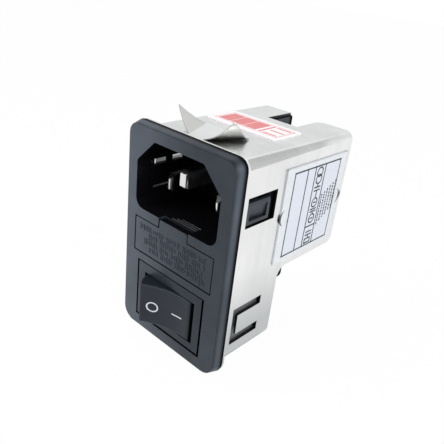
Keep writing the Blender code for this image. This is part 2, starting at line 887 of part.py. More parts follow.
def circuit_board(surface):
    """A small board across the rear, which the three tabs pass through."""
    obj = block((-board_width / 2, board_front, board_low),
                (board_width / 2, board_rear, board_low + board_height))
    part(obj, "circuit_board", surface)
    tab_slots(obj, board_front, board_rear)
    return obj


def fuse_drawer(surface):
    """Drawer: face with a tab that reaches into the inlet, and a tray for two fuses."""
    half = drawer_width / 2 - drawer_line / 2
    low = drawer_low + drawer_line / 2
    high = drawer_high - drawer_line / 2
    tab = drawer_tab_width / 2 - drawer_line / 2
    face = rounded([
        (-half, low, 0), (half, low, 0), (half, high, 0), (tab, high, 0),
        (tab, drawer_tab_top, drawer_line), (-tab, drawer_tab_top, drawer_line),
        (-tab, high, 0), (-half, high, 0)], 2)
    back = bezel_front + drawer_face
    obj = part(plate(face, bezel_front, back, "front"), "fuse_drawer", surface)
    tray_half = bay_width / 2 - seat_gap
    tray_top = bay_top - seat_gap
    join(obj, block((-tray_half, back - root / 2, tray_low), (tray_half, tray_rear, tray_top)),
         "tray")
    bar = tray_low + tray_bar_height
    for name, x in fuse_places():
        cut(obj, block((x - pocket_half, fuse_front - fuse_bed - seat_gap, tray_low + tray_floor),
                       (x + pocket_half, fuse_front + fuse_length + fuse_bed + seat_gap,
                        tray_top + overrun)), f"well_{name}")
        cut(obj, block((x - pocket_half, fuse_front + fuse_length, bar),
                       (x + pocket_half, tray_rear + overrun, tray_top + overrun)),
            f"rear_bar_{name}")
    return obj


def fuse_places():
    return [("left", -fuse_spacing), ("right", fuse_spacing)]


def fuse(side, x, glass, metal):
    """A 5 x 20 glass fuse: tube, two cup caps and the wire between them."""
    rear = fuse_front + fuse_length
    outer = fuse_diameter / 2
    tube_radius = outer - fuse_cap_wall - fit_gap
    inner = tube_radius - fuse_glass_wall
    depth = fuse_cap_wall + fit_gap
    tube = turned([(inner, depth), (tube_radius, depth), (tube_radius, fuse_length - depth),
                   (inner, fuse_length - depth), (inner, depth)][::-1],
                  (x, fuse_front, fuse_centre), (0, 1, 0))
    part(tube, f"fuse_glass_{side}", glass)
    cup = [(0, 0), (outer, 0), (outer, fuse_cap_length), (outer - fuse_cap_wall, fuse_cap_length),
           (outer - fuse_cap_wall, fuse_cap_wall), (0, fuse_cap_wall)][::-1]
    part(turned(cup, (x, fuse_front, fuse_centre), (0, 1, 0)), f"fuse_cap_{side}_front", metal)
    part(turned(cup, (x, rear, fuse_centre), (0, -1, 0)), f"fuse_cap_{side}_rear", metal)
    part(rod(fuse_wire, (x, fuse_front + depth, fuse_centre), (x, rear - depth, fuse_centre), 8),
         f"fuse_wire_{side}", metal)


def contact_places():
    places = []
    for side, x in fuse_places():
        places.append((f"{side}_front", x, contact_front))
        places.append((f"{side}_rear", x, contact_rear))
    return places


def fuse_contact(name, x, y, surface):
    """A bowed spring strip in the bay's roof, above a fuse cap."""
    top = bay_top + contact_groove - seat_gap
    steps = arc_steps * 2
    upper = []
    for step in range(steps + 1):
        share = step / steps
        sag = contact_bow * math.sin(math.pi * share) ** 2
        upper.append((y + contact_length * share, top - sag))
    lower = [(a, b - contact_sheet) for a, b in reversed(upper)]
    obj = plate(upper + lower, x - contact_width / 2, x + contact_width / 2, "side")
    return part(obj, f"fuse_contact_{name}", surface)


def switch_housing(surface):
    """Switch frame that sits flush in the bezel, with the open box behind it."""
    half, tall = switch_width / 2 - switch_line / 2, switch_height / 2 - switch_line / 2
    face_back = bezel_front + switch_face
    obj = part(block((-half, bezel_front, switch_rise - tall), (half, face_back, switch_rise + tall)),
               "switch_housing", surface)
    body_half, body_tall = switch_body_width / 2, switch_body_height / 2
    body_rear = bezel_front + switch_body_depth
    join(obj, block((-body_half, face_back - root / 2, switch_rise - body_tall),
                    (body_half, body_rear, switch_rise + body_tall)), "body")
    hole_half, hole_tall = rocker_hole_width / 2, rocker_hole_height / 2
    cut(obj, block((rocker_side_shift - hole_half, bezel_front - overrun, rocker_rise - hole_tall),
                   (rocker_side_shift + hole_half, body_rear - switch_wall,
                    rocker_rise + hole_tall)), "well")
    axle = axle_diameter + 2 * seat_gap
    cut(obj, rod(axle, (0, pivot_y, switch_rise - body_tall - overrun),
                 (0, pivot_y, switch_rise + body_tall + overrun)), "axle_holes")
    for name, x, z in terminal_places():
        half_w, half_t = terminal_width / 2 + seat_gap, terminal_sheet / 2 + seat_gap
        cut(obj, block((x - half_t, body_rear - switch_wall - overrun, z - half_w),
                       (x + half_t, body_rear + overrun, z + half_w)), f"slot_{name}")
    return obj


def rocker_outline():
    """The rocker seen along its axle, level: hollow face above, round ends, flat skirt."""
    end = math.sqrt(rocker_radius ** 2 - rocker_end_rise ** 2)
    skirt = math.sqrt(rocker_radius ** 2 - rocker_skirt ** 2)
    sag = rocker_end_rise - rocker_face_rise
    face_radius = (end ** 2 + sag ** 2) / (2 * sag)
    points = []
    steps = arc_steps * 2
    sweep = math.asin(end / face_radius)
    for step in range(steps + 1):
        angle = sweep * (2 * step / steps - 1)
        points.append((face_radius * math.sin(angle),
                       -rocker_face_rise - face_radius * (1 - math.cos(angle))))
    first = math.atan2(-rocker_end_rise, end)
    last = math.atan2(rocker_skirt, skirt)
    for step in range(1, arc_steps + 1):
        angle = first + (last - first) * step / arc_steps
        points.append((rocker_radius * math.cos(angle), rocker_radius * math.sin(angle)))
    for step in range(arc_steps):
        angle = last + (first - last) * step / arc_steps
        points.append((-rocker_radius * math.cos(angle), rocker_radius * math.sin(angle)))
    return points


def rocker(surface):
    """The rocker with its axle stubs and two hollow posts, turned to the ON side."""
    half = rocker_height / 2
    obj = part(plate(rocker_outline(), -half, half, "flat"), "rocker", surface)
    bevel(obj, rocker_edge)
    face = rocker_face_rise - rocker_wall
    skirt = math.sqrt(rocker_radius ** 2 - rocker_skirt ** 2) - rocker_wall
    cut(obj, block((-skirt, -face, -half + rocker_wall),
                   (skirt, rocker_skirt + overrun, half - rocker_wall)), "hollow")
    join(obj, rod(axle_diameter, (0, 0, -half - axle_length), (0, 0, half + axle_length)), "axle")
    for name, z in (("lower", -pole_spacing), ("upper", pole_spacing)):
        join(obj, rod(post_diameter, (0, -face - root / 2, z), (0, post_length, z)), f"post_{name}")
    for name, z in (("lower", -pole_spacing), ("upper", pole_spacing)):
        cut(obj, rod(post_bore, (0, post_length - plunger_length, z),
                     (0, post_length + overrun, z)), f"bore_{name}")
    for other in [m.object for m in obj.modifiers if m.type == "BOOLEAN"]:
        other.parent = obj
    obj.location = (0, pivot_y, rocker_rise)
    obj.rotation_euler = (0, 0, rocker_angle)
    return obj


def plunger(name, z, surface):
    """A round-nosed pin in the rocker's post, turned with the rocker."""
    radius = plunger_diameter / 2
    nose = [(radius * math.sin(math.pi / 2 * step / arc_steps),
             plunger_reach - radius + radius * math.cos(math.pi / 2 * step / arc_steps))
            for step in range(arc_steps + 1)]
    shank = plunger_reach - plunger_length
    profile = nose + [(radius, shank), (0, shank)]
    obj = part(turned(profile, (0, 0, 0), (0, 1, 0)), f"plunger_{name}", surface)
    turn = Matrix.Rotation(rocker_angle, 4, "Z")
    stand = obj.rotation_euler.to_matrix().to_4x4()
    obj.matrix_world = Matrix.Translation((0, pivot_y, rocker_rise + z)) @ turn @ stand
    return obj


def pole_places():
    return [("lower", -pole_spacing), ("upper", pole_spacing)]


def contact_blade(name, z, surface):
    """A see-saw blade on the middle terminal, its left end on the fixed contact."""
    half = blade_sheet / 2
    obj = block((-blade_half, -half, -blade_width / 2), (blade_half, half, blade_width / 2))
    part(obj, f"contact_blade_{name}", surface)
    join(obj, rod(rivet_diameter, (-anvil_place, 0, 0), (-anvil_place, half + rivet_height, 0), 16),
         "rivet")
    for other in [m.object for m in obj.modifiers if m.type == "BOOLEAN"]:
        other.parent = obj
    obj.location = (0, blade_y, rocker_rise + z)
    obj.rotation_euler = (0, 0, -blade_angle)
    return obj


def terminal_places():
    places = []
    for name, z in pole_places():
        places.append((f"common_{name}", 0, rocker_rise + z))
        places.append((f"switched_{name}", -anvil_place, rocker_rise + z))
    return places


def switch_terminal(name, x, z, surface):
    """A flat terminal through the switch's rear wall; its inner end carries the blade."""
    inner = fork_y if name.startswith("common") else anvil_y
    end = bezel_front + terminal_end
    half_w, half_t = terminal_width / 2, terminal_sheet / 2
    obj = block((x - half_t, inner, z - half_w), (x + half_t, end, z + half_w))
    return bevel(part(obj, f"switch_terminal_{name}", surface), fit_gap, 1)


def choke_core(surface):
    """The choke's ring core, its axis along Y."""
    low, high = -core_height / 2, core_height / 2
    edge = core_edge
    profile = [(core_inner, low + edge), (core_inner + edge, low), (core_outer - edge, low),
               (core_outer, low + edge), (core_outer, high - edge), (core_outer - edge, high),
               (core_inner + edge, high), (core_inner, high - edge), (core_inner, low + edge)]
    obj = turned(profile[::-1], (0, choke_depth, choke_rise), (0, 1, 0))
    return part(obj, "choke_core", surface)


def choke_winding(side, surface):
    """Turns of wire laid round one half of the ring core."""
    gap = seat_gap + winding_wire / 2
    low, high = core_inner - gap, core_outer + gap
    half = core_height / 2 + gap
    corners = rounded([(low, -half, gap), (high, -half, gap), (high, half, gap), (low, half, gap)], 2)
    loop = len(corners)
    start = -winding_arc / 2 + (math.pi if side == "left" else 0)
    points = []
    total = winding_turns * loop
    for index in range(total + 1):
        radius, depth = corners[index % loop]
        angle = start + winding_arc * index / total
        points.append((radius * math.cos(angle), choke_depth + depth,
                       choke_rise + radius * math.sin(angle)))
    return part(wire(points, winding_wire), f"choke_winding_{side}", surface)


def box_capacitor(surface):
    """The capacitor across the line: a moulded box with two leads below."""
    half = box_capacitor_width / 2
    top = box_capacitor_rise + box_capacitor_height / 2
    low = box_capacitor_rise - box_capacitor_height / 2
    rear = box_capacitor_front + box_capacitor_depth
    obj = part(block((-half, box_capacitor_front, low), (half, rear, top)), "line_capacitor", surface)
    bevel(obj, core_edge, 1)
    return obj


def disc_capacitor(side, surface):
    """A disc capacitor beside the trough, its two leads towards the board."""
    x = disc_place * (-1 if side == "left" else 1)
    half = disc_thickness / 2
    radius = disc_diameter / 2
    lens = []
    for step in range(arc_steps * 2 + 1):
        angle = math.pi * step / (arc_steps * 2)
        lens.append((radius * math.sin(angle) ** 0.7 if 0 < angle < math.pi else 0,
                     half * math.cos(angle)))
    lens[0], lens[-1] = (0, half), (0, -half)
    obj = turned(lens, (x, disc_depth, disc_rise), (1, 0, 0))
    return part(obj, f"earth_capacitor_{side}", surface)


def discharge_resistor(surface):
    """An axial resistor, waisted between its two ends, with a straight lead through it."""
    half = resistor_length / 2
    big, neck, lead = resistor_diameter / 2, resistor_neck / 2, lead_diameter / 2
    lead_end = half + lead_length
    cap = resistor_length / 4
    profile = [(0, lead_end), (lead, lead_end), (lead, half), (big, half), (big, half - cap),
               (neck, half - cap - core_edge / 2), (neck, -half + cap + core_edge / 2),
               (big, -half + cap), (big, -half), (lead, -half), (lead, -lead_end), (0, -lead_end)]
    obj = turned(profile, (0, resistor_depth, resistor_rise), (1, 0, 0))
    return part(obj, "discharge_resistor", surface)


def side_label(surface):
    """The printed label on the right side of the can."""
    x = half_can + skin_gap
    outline = rounded(rectangle(label_front, label_low, label_front + label_length,
                                label_low + label_height, label_corner), 2)
    return part(plate(outline, x, x + label_thickness, "side"), "side_label", surface)


def top_sticker(surface):
    """The small sticker on top of the can."""
    z = can_top + skin_gap
    outline = rounded(rectangle(sticker_left, sticker_front, sticker_left + sticker_width,
                                sticker_front + sticker_length, sticker_corner), 2)
    return part(plate(outline, z, z + label_thickness, "flat"), "top_sticker", surface)


def build():
    black = material("black_moulding", (0.045, 0.050, 0.056), 0.42, 0.0)
    rocker_black = material("rocker_black", (0.038, 0.040, 0.043), 0.38, 0.0)
    tinned = material("tinned_sheet", (0.78, 0.79, 0.78), 0.30, 1.0)
    spring_steel = material("spring_steel", (0.62, 0.62, 0.60), 0.32, 1.0)
    nickel = material("nickel_plate", (0.74, 0.72, 0.68), 0.22, 1.0)
    brass = material("brass", (0.72, 0.55, 0.28), 0.30, 1.0)
    copper = material("enamelled_copper", (0.55, 0.24, 0.10), 0.30, 1.0)
    ferrite = material("ferrite", (0.10, 0.16, 0.12), 0.55, 0.0)
    board_green = material("board_green", (0.05, 0.20, 0.10), 0.45, 0.0)
    yellow = material("capacitor_yellow", (0.75, 0.56, 0.12), 0.40, 0.0)
    blue = material("disc_blue", (0.08, 0.22, 0.48), 0.40, 0.0)
    beige = material("resistor_beige", (0.62, 0.50, 0.34), 0.50, 0.0)
    glass = material("fuse_glass", (0.85, 0.88, 0.88), 0.08, 0.0)
    label_white = material("label_white", (0.80, 0.82, 0.86), 0.45, 0.0)
    sticker_white = material("sticker_white", (0.86, 0.84, 0.84), 0.40, 0.0)

    front_bezel(black)
    filter_can(tinned)
    snap_spring("snap_spring_top", 1, spring_steel)
    snap_spring("snap_spring_bottom", -1, spring_steel)
    rear_cover(black)
    for name, x, z, setback in pin_places():
        pin(name, x, z, setback, nickel)
    fuse_drawer(black)
    for side, x in fuse_places():
        fuse(side, x, glass, nickel)
    for name, x, y in contact_places():
        fuse_contact(name, x, y, nickel)
    switch_housing(rocker_black)
    rocker(rocker_black)
    for name, z in pole_places():
        plunger(name, z, nickel)
        contact_blade(name, z, brass)
    for name, x, z in terminal_places():
        switch_terminal(name, x, z, brass)
    choke_core(ferrite)
    for side in ("left", "right"):
        choke_winding(side, copper)
        disc_capacitor(side, blue)
    box_capacitor(yellow)
    discharge_resistor(beige)
    circuit_board(board_green)
    for name, x, z in tab_places():
        rear_tab(name, x, z, nickel)
    side_label(label_white)
    top_sticker(sticker_white)


clear_scene()
parts = new_collection("iec_line_filter")
cutters = new_collection("cutters")
build()
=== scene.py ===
"""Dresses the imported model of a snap-in inlet line filter: black moulded bezel with an
appliance inlet, fuse drawer and rocker switch, and a stepped tinned can behind it.

Laid out as an add-on and run as a script. Every piece is in metres, in the frame of the
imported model: +Z up, the front faces -Y.
"""

import functools
import json
import math
import random

import bmesh
import bpy
from bpy.props import FloatProperty, FloatVectorProperty, PointerProperty
from bpy.types import Operator, Panel, PropertyGroup
from mathutils import Matrix, Vector
from mathutils.bvhtree import BVHTree

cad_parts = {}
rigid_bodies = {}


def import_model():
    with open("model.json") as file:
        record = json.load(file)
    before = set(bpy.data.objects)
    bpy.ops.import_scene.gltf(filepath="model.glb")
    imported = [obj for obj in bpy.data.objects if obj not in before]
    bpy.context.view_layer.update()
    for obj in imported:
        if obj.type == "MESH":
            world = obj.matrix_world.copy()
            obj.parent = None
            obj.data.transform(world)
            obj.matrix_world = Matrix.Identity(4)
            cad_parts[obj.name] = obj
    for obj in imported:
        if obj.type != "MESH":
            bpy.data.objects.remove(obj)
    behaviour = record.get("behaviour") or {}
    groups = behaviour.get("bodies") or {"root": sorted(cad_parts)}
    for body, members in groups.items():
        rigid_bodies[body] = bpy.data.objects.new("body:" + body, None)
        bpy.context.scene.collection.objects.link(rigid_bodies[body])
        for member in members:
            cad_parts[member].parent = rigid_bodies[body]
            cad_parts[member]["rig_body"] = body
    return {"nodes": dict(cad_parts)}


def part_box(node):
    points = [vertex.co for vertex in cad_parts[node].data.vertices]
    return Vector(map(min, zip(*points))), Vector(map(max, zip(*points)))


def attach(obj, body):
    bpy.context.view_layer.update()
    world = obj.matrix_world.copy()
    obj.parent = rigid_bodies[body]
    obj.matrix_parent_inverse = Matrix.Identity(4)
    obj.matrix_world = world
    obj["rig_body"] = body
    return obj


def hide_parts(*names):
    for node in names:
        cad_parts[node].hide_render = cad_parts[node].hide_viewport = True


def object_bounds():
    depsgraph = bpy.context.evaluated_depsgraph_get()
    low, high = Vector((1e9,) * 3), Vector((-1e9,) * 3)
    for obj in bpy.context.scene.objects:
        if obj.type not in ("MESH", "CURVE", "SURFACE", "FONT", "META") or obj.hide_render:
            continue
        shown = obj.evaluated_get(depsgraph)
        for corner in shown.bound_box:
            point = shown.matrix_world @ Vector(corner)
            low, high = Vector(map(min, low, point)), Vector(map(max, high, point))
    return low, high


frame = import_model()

bl_info = {
    "name": "Inlet line filter",
    "version": (1, 0, 0),
    "blender": (4, 5, 0),
    "location": "3D View > Sidebar > Line filter",
    "description": "Dresses the packed model of an inlet line filter and sets its stage",
    "category": "Object",
}

cad_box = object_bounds()
nodes = frame["nodes"]
label_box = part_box("side_label")
sticker_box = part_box("top_sticker")
rocker_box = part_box("rocker")
drawer_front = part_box("fuse_drawer")[0][1]
bezel_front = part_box("front_bezel")[0][1]
cover_rear, cover_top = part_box("rear_cover")[1][1:]

# Thickness of paint, which also says how near two places count as one, and of prints
film = 0.00002
print_film = film / 2
tint_film = film / 4
# Clearance of the label's and the sticker's nodes over the can
skin_gap = 0.00015
# Degrees under which two faces count as one, and over which an edge stays sharp
flat_angle = 0.5
sharp_angle = 34

# The inlet's opening, for what lies inside it
inlet_half = 0.0120
inlet_low = 0.00622
inlet_high = 0.02194
inlet_lip = 0.0006
shroud_wall = 0.0008
bezel_back = -0.0008
drawer_tab_foot = inlet_low - 0.001

# Ridges on the inlet's floor, each one shorter than the one in front of it, whose paler finish is
# a painted highlight
ridge_count = 3
ridge_front = bezel_front + 0.0021
ridge_pitch = 0.00066
ridge_left = -0.0026
ridge_right = 0.0046
ridge_shortening = 0.0009
ridge_width = 0.00011
ridge_height = 0.00008

# Switch recess, widened where its gap shows most
recess_half = 0.010375
recess_low = -0.021295
recess_high = -0.006345
recess_widening = 0.00022
rocker_gap = 0.0008
rocker_gap_widening = 0.00035
frame_front_depth = 0.0002
frame_top = recess_high - 0.001
tube_half = 0.0126

# Across the front, where the mouldings' skin, in painted light, is at its palest and its deepest
painted_light_left = -0.0137
painted_light_right = 0.0050
# Up the right flank, from where to where its painted light turns paler, and its least share
flank_heights = (-0.005, 0.012)
flank_least = 0.45
# Parts of a normal between which a face counts as turned right, to the front or off it
turned_right = (0.5, 0.9)
turned_front = (-0.5, -0.8)
turned_off_front = (-0.97, -0.70)
# Parts of a normal that tell a pin's faces in painted shade, the rocker's ends, a flat leaf and a
# cut
shade_turn = 0.2
end_turn = 0.9
flat_turn = 0.98
cut_turn = 0.5

# Slot over the left latch, hung with a sheet of painted shade, and its clearer strip of painted
# light: lowest height, and where it starts
slot_box = ((-0.01315, 0.0027, 0.01440), (-0.01300, 0.0112, 0.01610))
lit_strip_low = 0.01518
lit_strip_start = (0.0065, 0.0075)

# How much of its width and height the flat of each pin's tip keeps
pin_tips = {"line": (0.60, 0.85), "neutral": (0.42, 0.66), "earth": (1.35, 0.95)}
pin_tip_depth = 0.0002

# Ticks on the drawer: height, left end and right end of each row
tick_rows = ((0.00215, -0.0102, 0.0096), (0.00055, -0.0072, 0.0098),
             (-0.00105, -0.0086, 0.0090), (-0.00265, -0.0070, 0.0100))
tick_heights = (0.0009, 0.0013, 0.0013)
tick_width = 0.00017
tick_pitch = (0.00046, 0.00066)
tick_group = (4, 8)
group_gap = 0.0006
# Dashes beside some of the ticks
dash_share = 0.55
dash_end = 0.00046
dash_height = 0.00015
dash_drop = 0.00014
fuse_sign = (0.0086, -0.0040, 0.00872, -0.0012)

# Rounding of the rocker's edges, and the marks on it as (x, z) of their middles at rest
rocker_edge = 0.00025
rocker_edge_steps = 3
rocker_edge_angle = 18
# Heights of the painted highlight along the rocker's crest
rocker_crest_highlight = (rocker_box[1][2] - 0.0006, rocker_box[1][2] - 0.0003)
off_mark = (-0.00245, -0.01450)
off_radius = 0.00128
on_mark = (0.0034, -0.01450)
on_length = 0.0027
on_pieces = 8

# Underside of the can's deep rear half
step_height = -0.0048

# Notch in the can's rear edge
notch_front = 0.0295
notch_half = 0.00425

# Where the side windows and the grip slots lie: depth, distance to the side, and height
window_rear = 0.0135
can_side_wall = (0.0125, 0.0145)
window_reach = 0.0215

# Label: corner, table (left, foot, right, top), column lines and the sign column's foot
label_corner = 0.0006
table_box = (0.0168, -0.00187, 0.0351, 0.01832)
column_lines = (0.02155, 0.0246, 0.0285)
sign_foot = 0.0031
sign_half = 0.00125
# Signs: coils, of which the lower two have a core, plates, leads and the resistor
coil_heights = (0.0166, 0.0149, 0.0092, 0.0052)
plate_heights = (0.0128, 0.0120, 0.0074, 0.0068, 0.0016, 0.0008)
lead_heights = ((0.0128, 0.0137), (0.0104, 0.0120), (0.0063, 0.0068), (0.0002, 0.0008))
resistor_heights = (-0.0013, -0.0002)
# Rows of dashes: the first one's place, the steps to the next, and the dashes in it
note_rows = 6
note_start = (0.0292, 0.0106)
note_step = (0.00105, 0.0005)
note_length = 0.0072
note_width = 0.0005
note_dash = (0.0003, 0.0008)
note_gap = (0.00016, 0.00026)
# Dents where the label bridges the peg holes, drawn as crescents of painted shade: middle, and the
# angle of the deep side
dent_places = ((0.0156, 180), (0.0357, 0))
dent_rise = 0.00848
# Radius, width and sweep of a dent's crescents of painted shade, on the deep side and across from
# it
dent_deep = (0.0019, 0.00055, 150)
dent_far = (0.0016, 0.00012, 120)

# Sticker: corner, margins (left, front, right, rear), line, gap and the fields' share
sticker_corner = 0.0008
sticker_margins = (0.0012, 0.0016, 0.0009, 0.0014)
sticker_line = 0.0002
sticker_inner = 0.0006
field_share = 0.66
field_count = 3

# Snap spring: the leaf's outline and the two folds
leaf_shift = -0.0011
leaf_front = 0.0004
fold_front = (0.0021, 0.00235)
fold_rear = {1: (0.00620, 0.01105), -1: (0.00577, 0.0110)}
leaf_end = 0.0114
leaf_sheet = 0.00022
leaf_edge_angle = 60
ear_rows = 14
ear_lift = 0.00452
ear_lean = {1: 0.0029, -1: 0.00438}
ear_foot_share = {1: 0.514, -1: 0.425}
ear_start_angle = {1: math.radians(22), -1: math.radians(34)}

# Floor: half its width, how evenly pale it is, and how bright a camera sees it
floor_half = 1.5
floor_evenness = 0.995
floor_roughness = 0.9
floor_brightness = 0.97
# Lamps as place, size and power, all aimed at the origin
lamps = {"key_lamp": ((-0.12, -0.14, 0.17), (0.12, 0.12), 0.30),
         "side_lamp": ((0.45, -0.05, 0.22), (0.30, 0.40), 1.2)}
# Surroundings: the dim light on matt faces, and the tones that metal mirrors, by height
ambient_tone = (0.94, 0.97, 1.0)
ambient_strength = 0.7
mirrored_tone = (0.985, 0.995, 1.0)
mirrored_stops = ((0.0, 1.0), (0.14, 0.98), (0.24, 0.82), (0.44, 0.76), (0.60, 1.0))

# Camera, fitted to the photograph: its place and its own three axes
camera_lens = 41.74
camera_sensor = 36.0
camera_clip = 0.001
camera_place = (0.067366, -0.068800, 0.054576)
camera_right = (0.72910, 0.67597, 0.10700)
camera_up = (-0.37304, 0.26145, 0.89020)
camera_back = (0.57379, -0.68898, 0.44280)

# What all colour settings share
rgb = {"subtype": "COLOR", "size": 3, "min": 0, "max": 1}


class LineFilterSizes(PropertyGroup):
    """Sizes that a user would change."""

    moulding_edge: FloatProperty(
        name="Moulding edge", description="Rounding of the black mouldings' edges",
        default=0.00012, unit="LENGTH")
    sheet_edge: FloatProperty(
        name="Sheet edge", description="Rounding of the sheet's cut edges",
        default=0.00006, unit="LENGTH")
    border_line: FloatProperty(
        name="Border line", description="Width of the printed lines on the label",
        default=0.00036, unit="LENGTH")
    mark_stroke: FloatProperty(
        name="Mark stroke", description="Stroke of the printed marks on the rocker",
        default=0.00029, unit="LENGTH")
    relief: FloatProperty(
        name="Relief", description="Height of the raised ticks on the drawer",
        default=0.00013, unit="LENGTH")
    floor_gap: FloatProperty(
        name="Floor gap", description="How far the floor lies under the lowest point",
        default=0.0001, unit="LENGTH")


class LineFilterColours(PropertyGroup):
    """Colours that a user would change."""

    moulding: FloatVectorProperty(
        name="Moulding", description="Black moulded plastic",
        default=(0.029, 0.036, 0.048), **rgb)
    rocker: FloatVectorProperty(
        name="Rocker", description="Black plastic of the rocker",
        default=(0.010, 0.012, 0.018), **rgb)
    # The cavity colour is a painted shade: a deeper copy of the black for hollows, gaps and the
    # rocker's ends
    cavity: FloatVectorProperty(
        name="Cavity", description="Polished black inside the inlet",
        default=(0.004, 0.004, 0.005), **rgb)
    tinned: FloatVectorProperty(
        name="Tinned sheet", description="Tinned steel of the can",
        default=(0.86, 0.865, 0.86), **rgb)
    spring: FloatVectorProperty(
        name="Spring steel", description="Thin steel of the snap springs",
        default=(0.72, 0.72, 0.69), **rgb)
    plating: FloatVectorProperty(
        name="Plating", description="Nickel plating of the pins and tabs",
        default=(0.78, 0.78, 0.79), **rgb)
    label: FloatVectorProperty(
        name="Label", description="Coated paper of the side label",
        default=(0.665, 0.685, 0.705), **rgb)
    print_ink: FloatVectorProperty(
        name="Print", description="Dark ink on the label", default=(0.018, 0.020, 0.026), **rgb)
    sticker_ink: FloatVectorProperty(
        name="Sticker fields", description="Red fields of the sticker",
        default=(0.72, 0.20, 0.20), **rgb)
    marks: FloatVectorProperty(
        name="Rocker marks", description="Pale paint of the rocker's marks",
        default=(0.62, 0.63, 0.65), **rgb)
    floor: FloatVectorProperty(
        name="Floor", description="Pale floor", default=(0.90, 0.90, 0.90), **rgb)


# Materials

def feed(tree, target, value):
    """Links a socket to the target, or sets the target's own value."""
    if isinstance(value, bpy.types.NodeSocket):
        tree.links.new(value, target)
    elif target.type == "RGBA":
        target.default_value = (*value, 1.0)
    else:
        target.default_value = value


def add_node(tree, kind, inputs=None, **settings):
    """A new node; its inputs, by name or number, are values or other nodes' sockets."""
    made = tree.nodes.new("ShaderNode" + kind)
    for key, value in settings.items():
        setattr(made, key, value)
    for key, value in (inputs or {}).items():
        feed(tree, made.inputs[key], value)
    return made


def combined(tree, operation, first, second):
    return add_node(tree, "Math", {0: first, 1: second}, operation=operation).outputs[0]


class Finish:
    """A material under construction: a principled shader and the nodes that feed it."""

    def __init__(self, name):
        self.material = bpy.data.materials.new(name)
        self.material.use_nodes = True
        self.tree = self.material.node_tree
        self.shader = self.tree.nodes["Principled BSDF"]
        self.place = self.node("TexCoord").outputs["Object"]

    def node(self, kind, inputs=None, **settings):
        return add_node(self.tree, kind, inputs, **settings)

    def stretched(self, scale):
        """Coordinates drawn out along some axes, for brushed and rolled surfaces."""
        made = self.node("Mapping", {"Vector": self.place, "Scale": scale})
        return made.outputs["Vector"]

    def noise(self, scale, detail=3, rough=0.5, vector=None):
        return self.node("TexNoise", {
            "Vector": vector or self.place, "Scale": scale, "Detail": detail,
            "Roughness": rough}).outputs["Fac"]

    def ramp(self, source, low, high, out_low=0.0, out_high=1.0):
        """The source's range from low to high, drawn out to another range."""
        return self.node("MapRange", {
            "Value": source, "From Min": low, "From Max": high,
            "To Min": out_low, "To Max": out_high}).outputs["Result"]

    def clouds(self, scale, detail=3, out_low=0.0, out_high=1.0, edges=(0.3, 0.7), rough=0.5):
        """Soft clouds between two values; edges are where the noise reaches them."""
        return self.ramp(self.noise(scale, detail, rough), *edges, out_low, out_high)

    def mix(self, factor, first, second):
        """A blend of two colours, each a colour or a socket."""
        inputs = {0: factor, 6: first, 7: second}
        return self.node("Mix", inputs, data_type="RGBA").outputs[2]

    def clouded(self, cloud, colour, depth):
        """A colour that clouds turn deeper and paler by a share of itself."""
        return self.mix(cloud, shade(colour, 1 - depth), shade(colour, 1 + depth))

    def wear_and_highlight_edge(self, width, flat_until=0.985, worn_from=0.80):
        """A mask that is bright only where the surface turns over an edge."""
        soft = self.node("Bevel", {"Radius": width}, samples=6).outputs["Normal"]
        flat = self.node("NewGeometry").outputs["Normal"]
        turn = self.node("VectorMath", {0: soft, 1: flat}, operation="DOT_PRODUCT")
        return self.ramp(turn.outputs["Value"], flat_until, worn_from)

    def crease(self, reach, open_until=0.85, shut_from=0.25):
        """A mask that is bright in folds and corners, for painted shade there."""
        light = self.node("AmbientOcclusion", {"Distance": reach}, samples=8)
        return self.ramp(light.outputs["AO"], open_until, shut_from)

    def part(self, vector, axis):
        return self.node("SeparateXYZ", {0: vector}).outputs[axis]

    def along(self, axis):
        """The coordinate along one axis, 0 to 2."""
        return self.part(self.place, axis)

    def facing(self, axis):
        """The surface normal's part along one axis, 0 to 2."""
        return self.part(self.node("TexCoord").outputs["Normal"], axis)

    def product(self, first, second):
        return combined(self.tree, "MULTIPLY", first, second)

    def larger(self, first, second):
        return combined(self.tree, "MAXIMUM", first, second)

    def result(self, colour, gloss, height, depth, strength, **others):
        """The material, with its colour, roughness and bump, and other sockets by name."""
        bump = self.node("Bump", {
            "Height": height, "Distance": depth, "Strength": strength})
        values = {"Base Color": colour, "Roughness": gloss, "Normal": bump.outputs["Normal"]}
        for key, value in {**values, **others}.items():
            feed(self.tree, self.shader.inputs[key], value)
        return self.material


def cool(colour):
    """The colour with a little less red and green."""
    return tuple(part * share for part, share in zip(colour, (0.95, 0.98, 1.0)))


def shade(colour, factor):
    return tuple(min(1.0, part * factor) for part in colour)


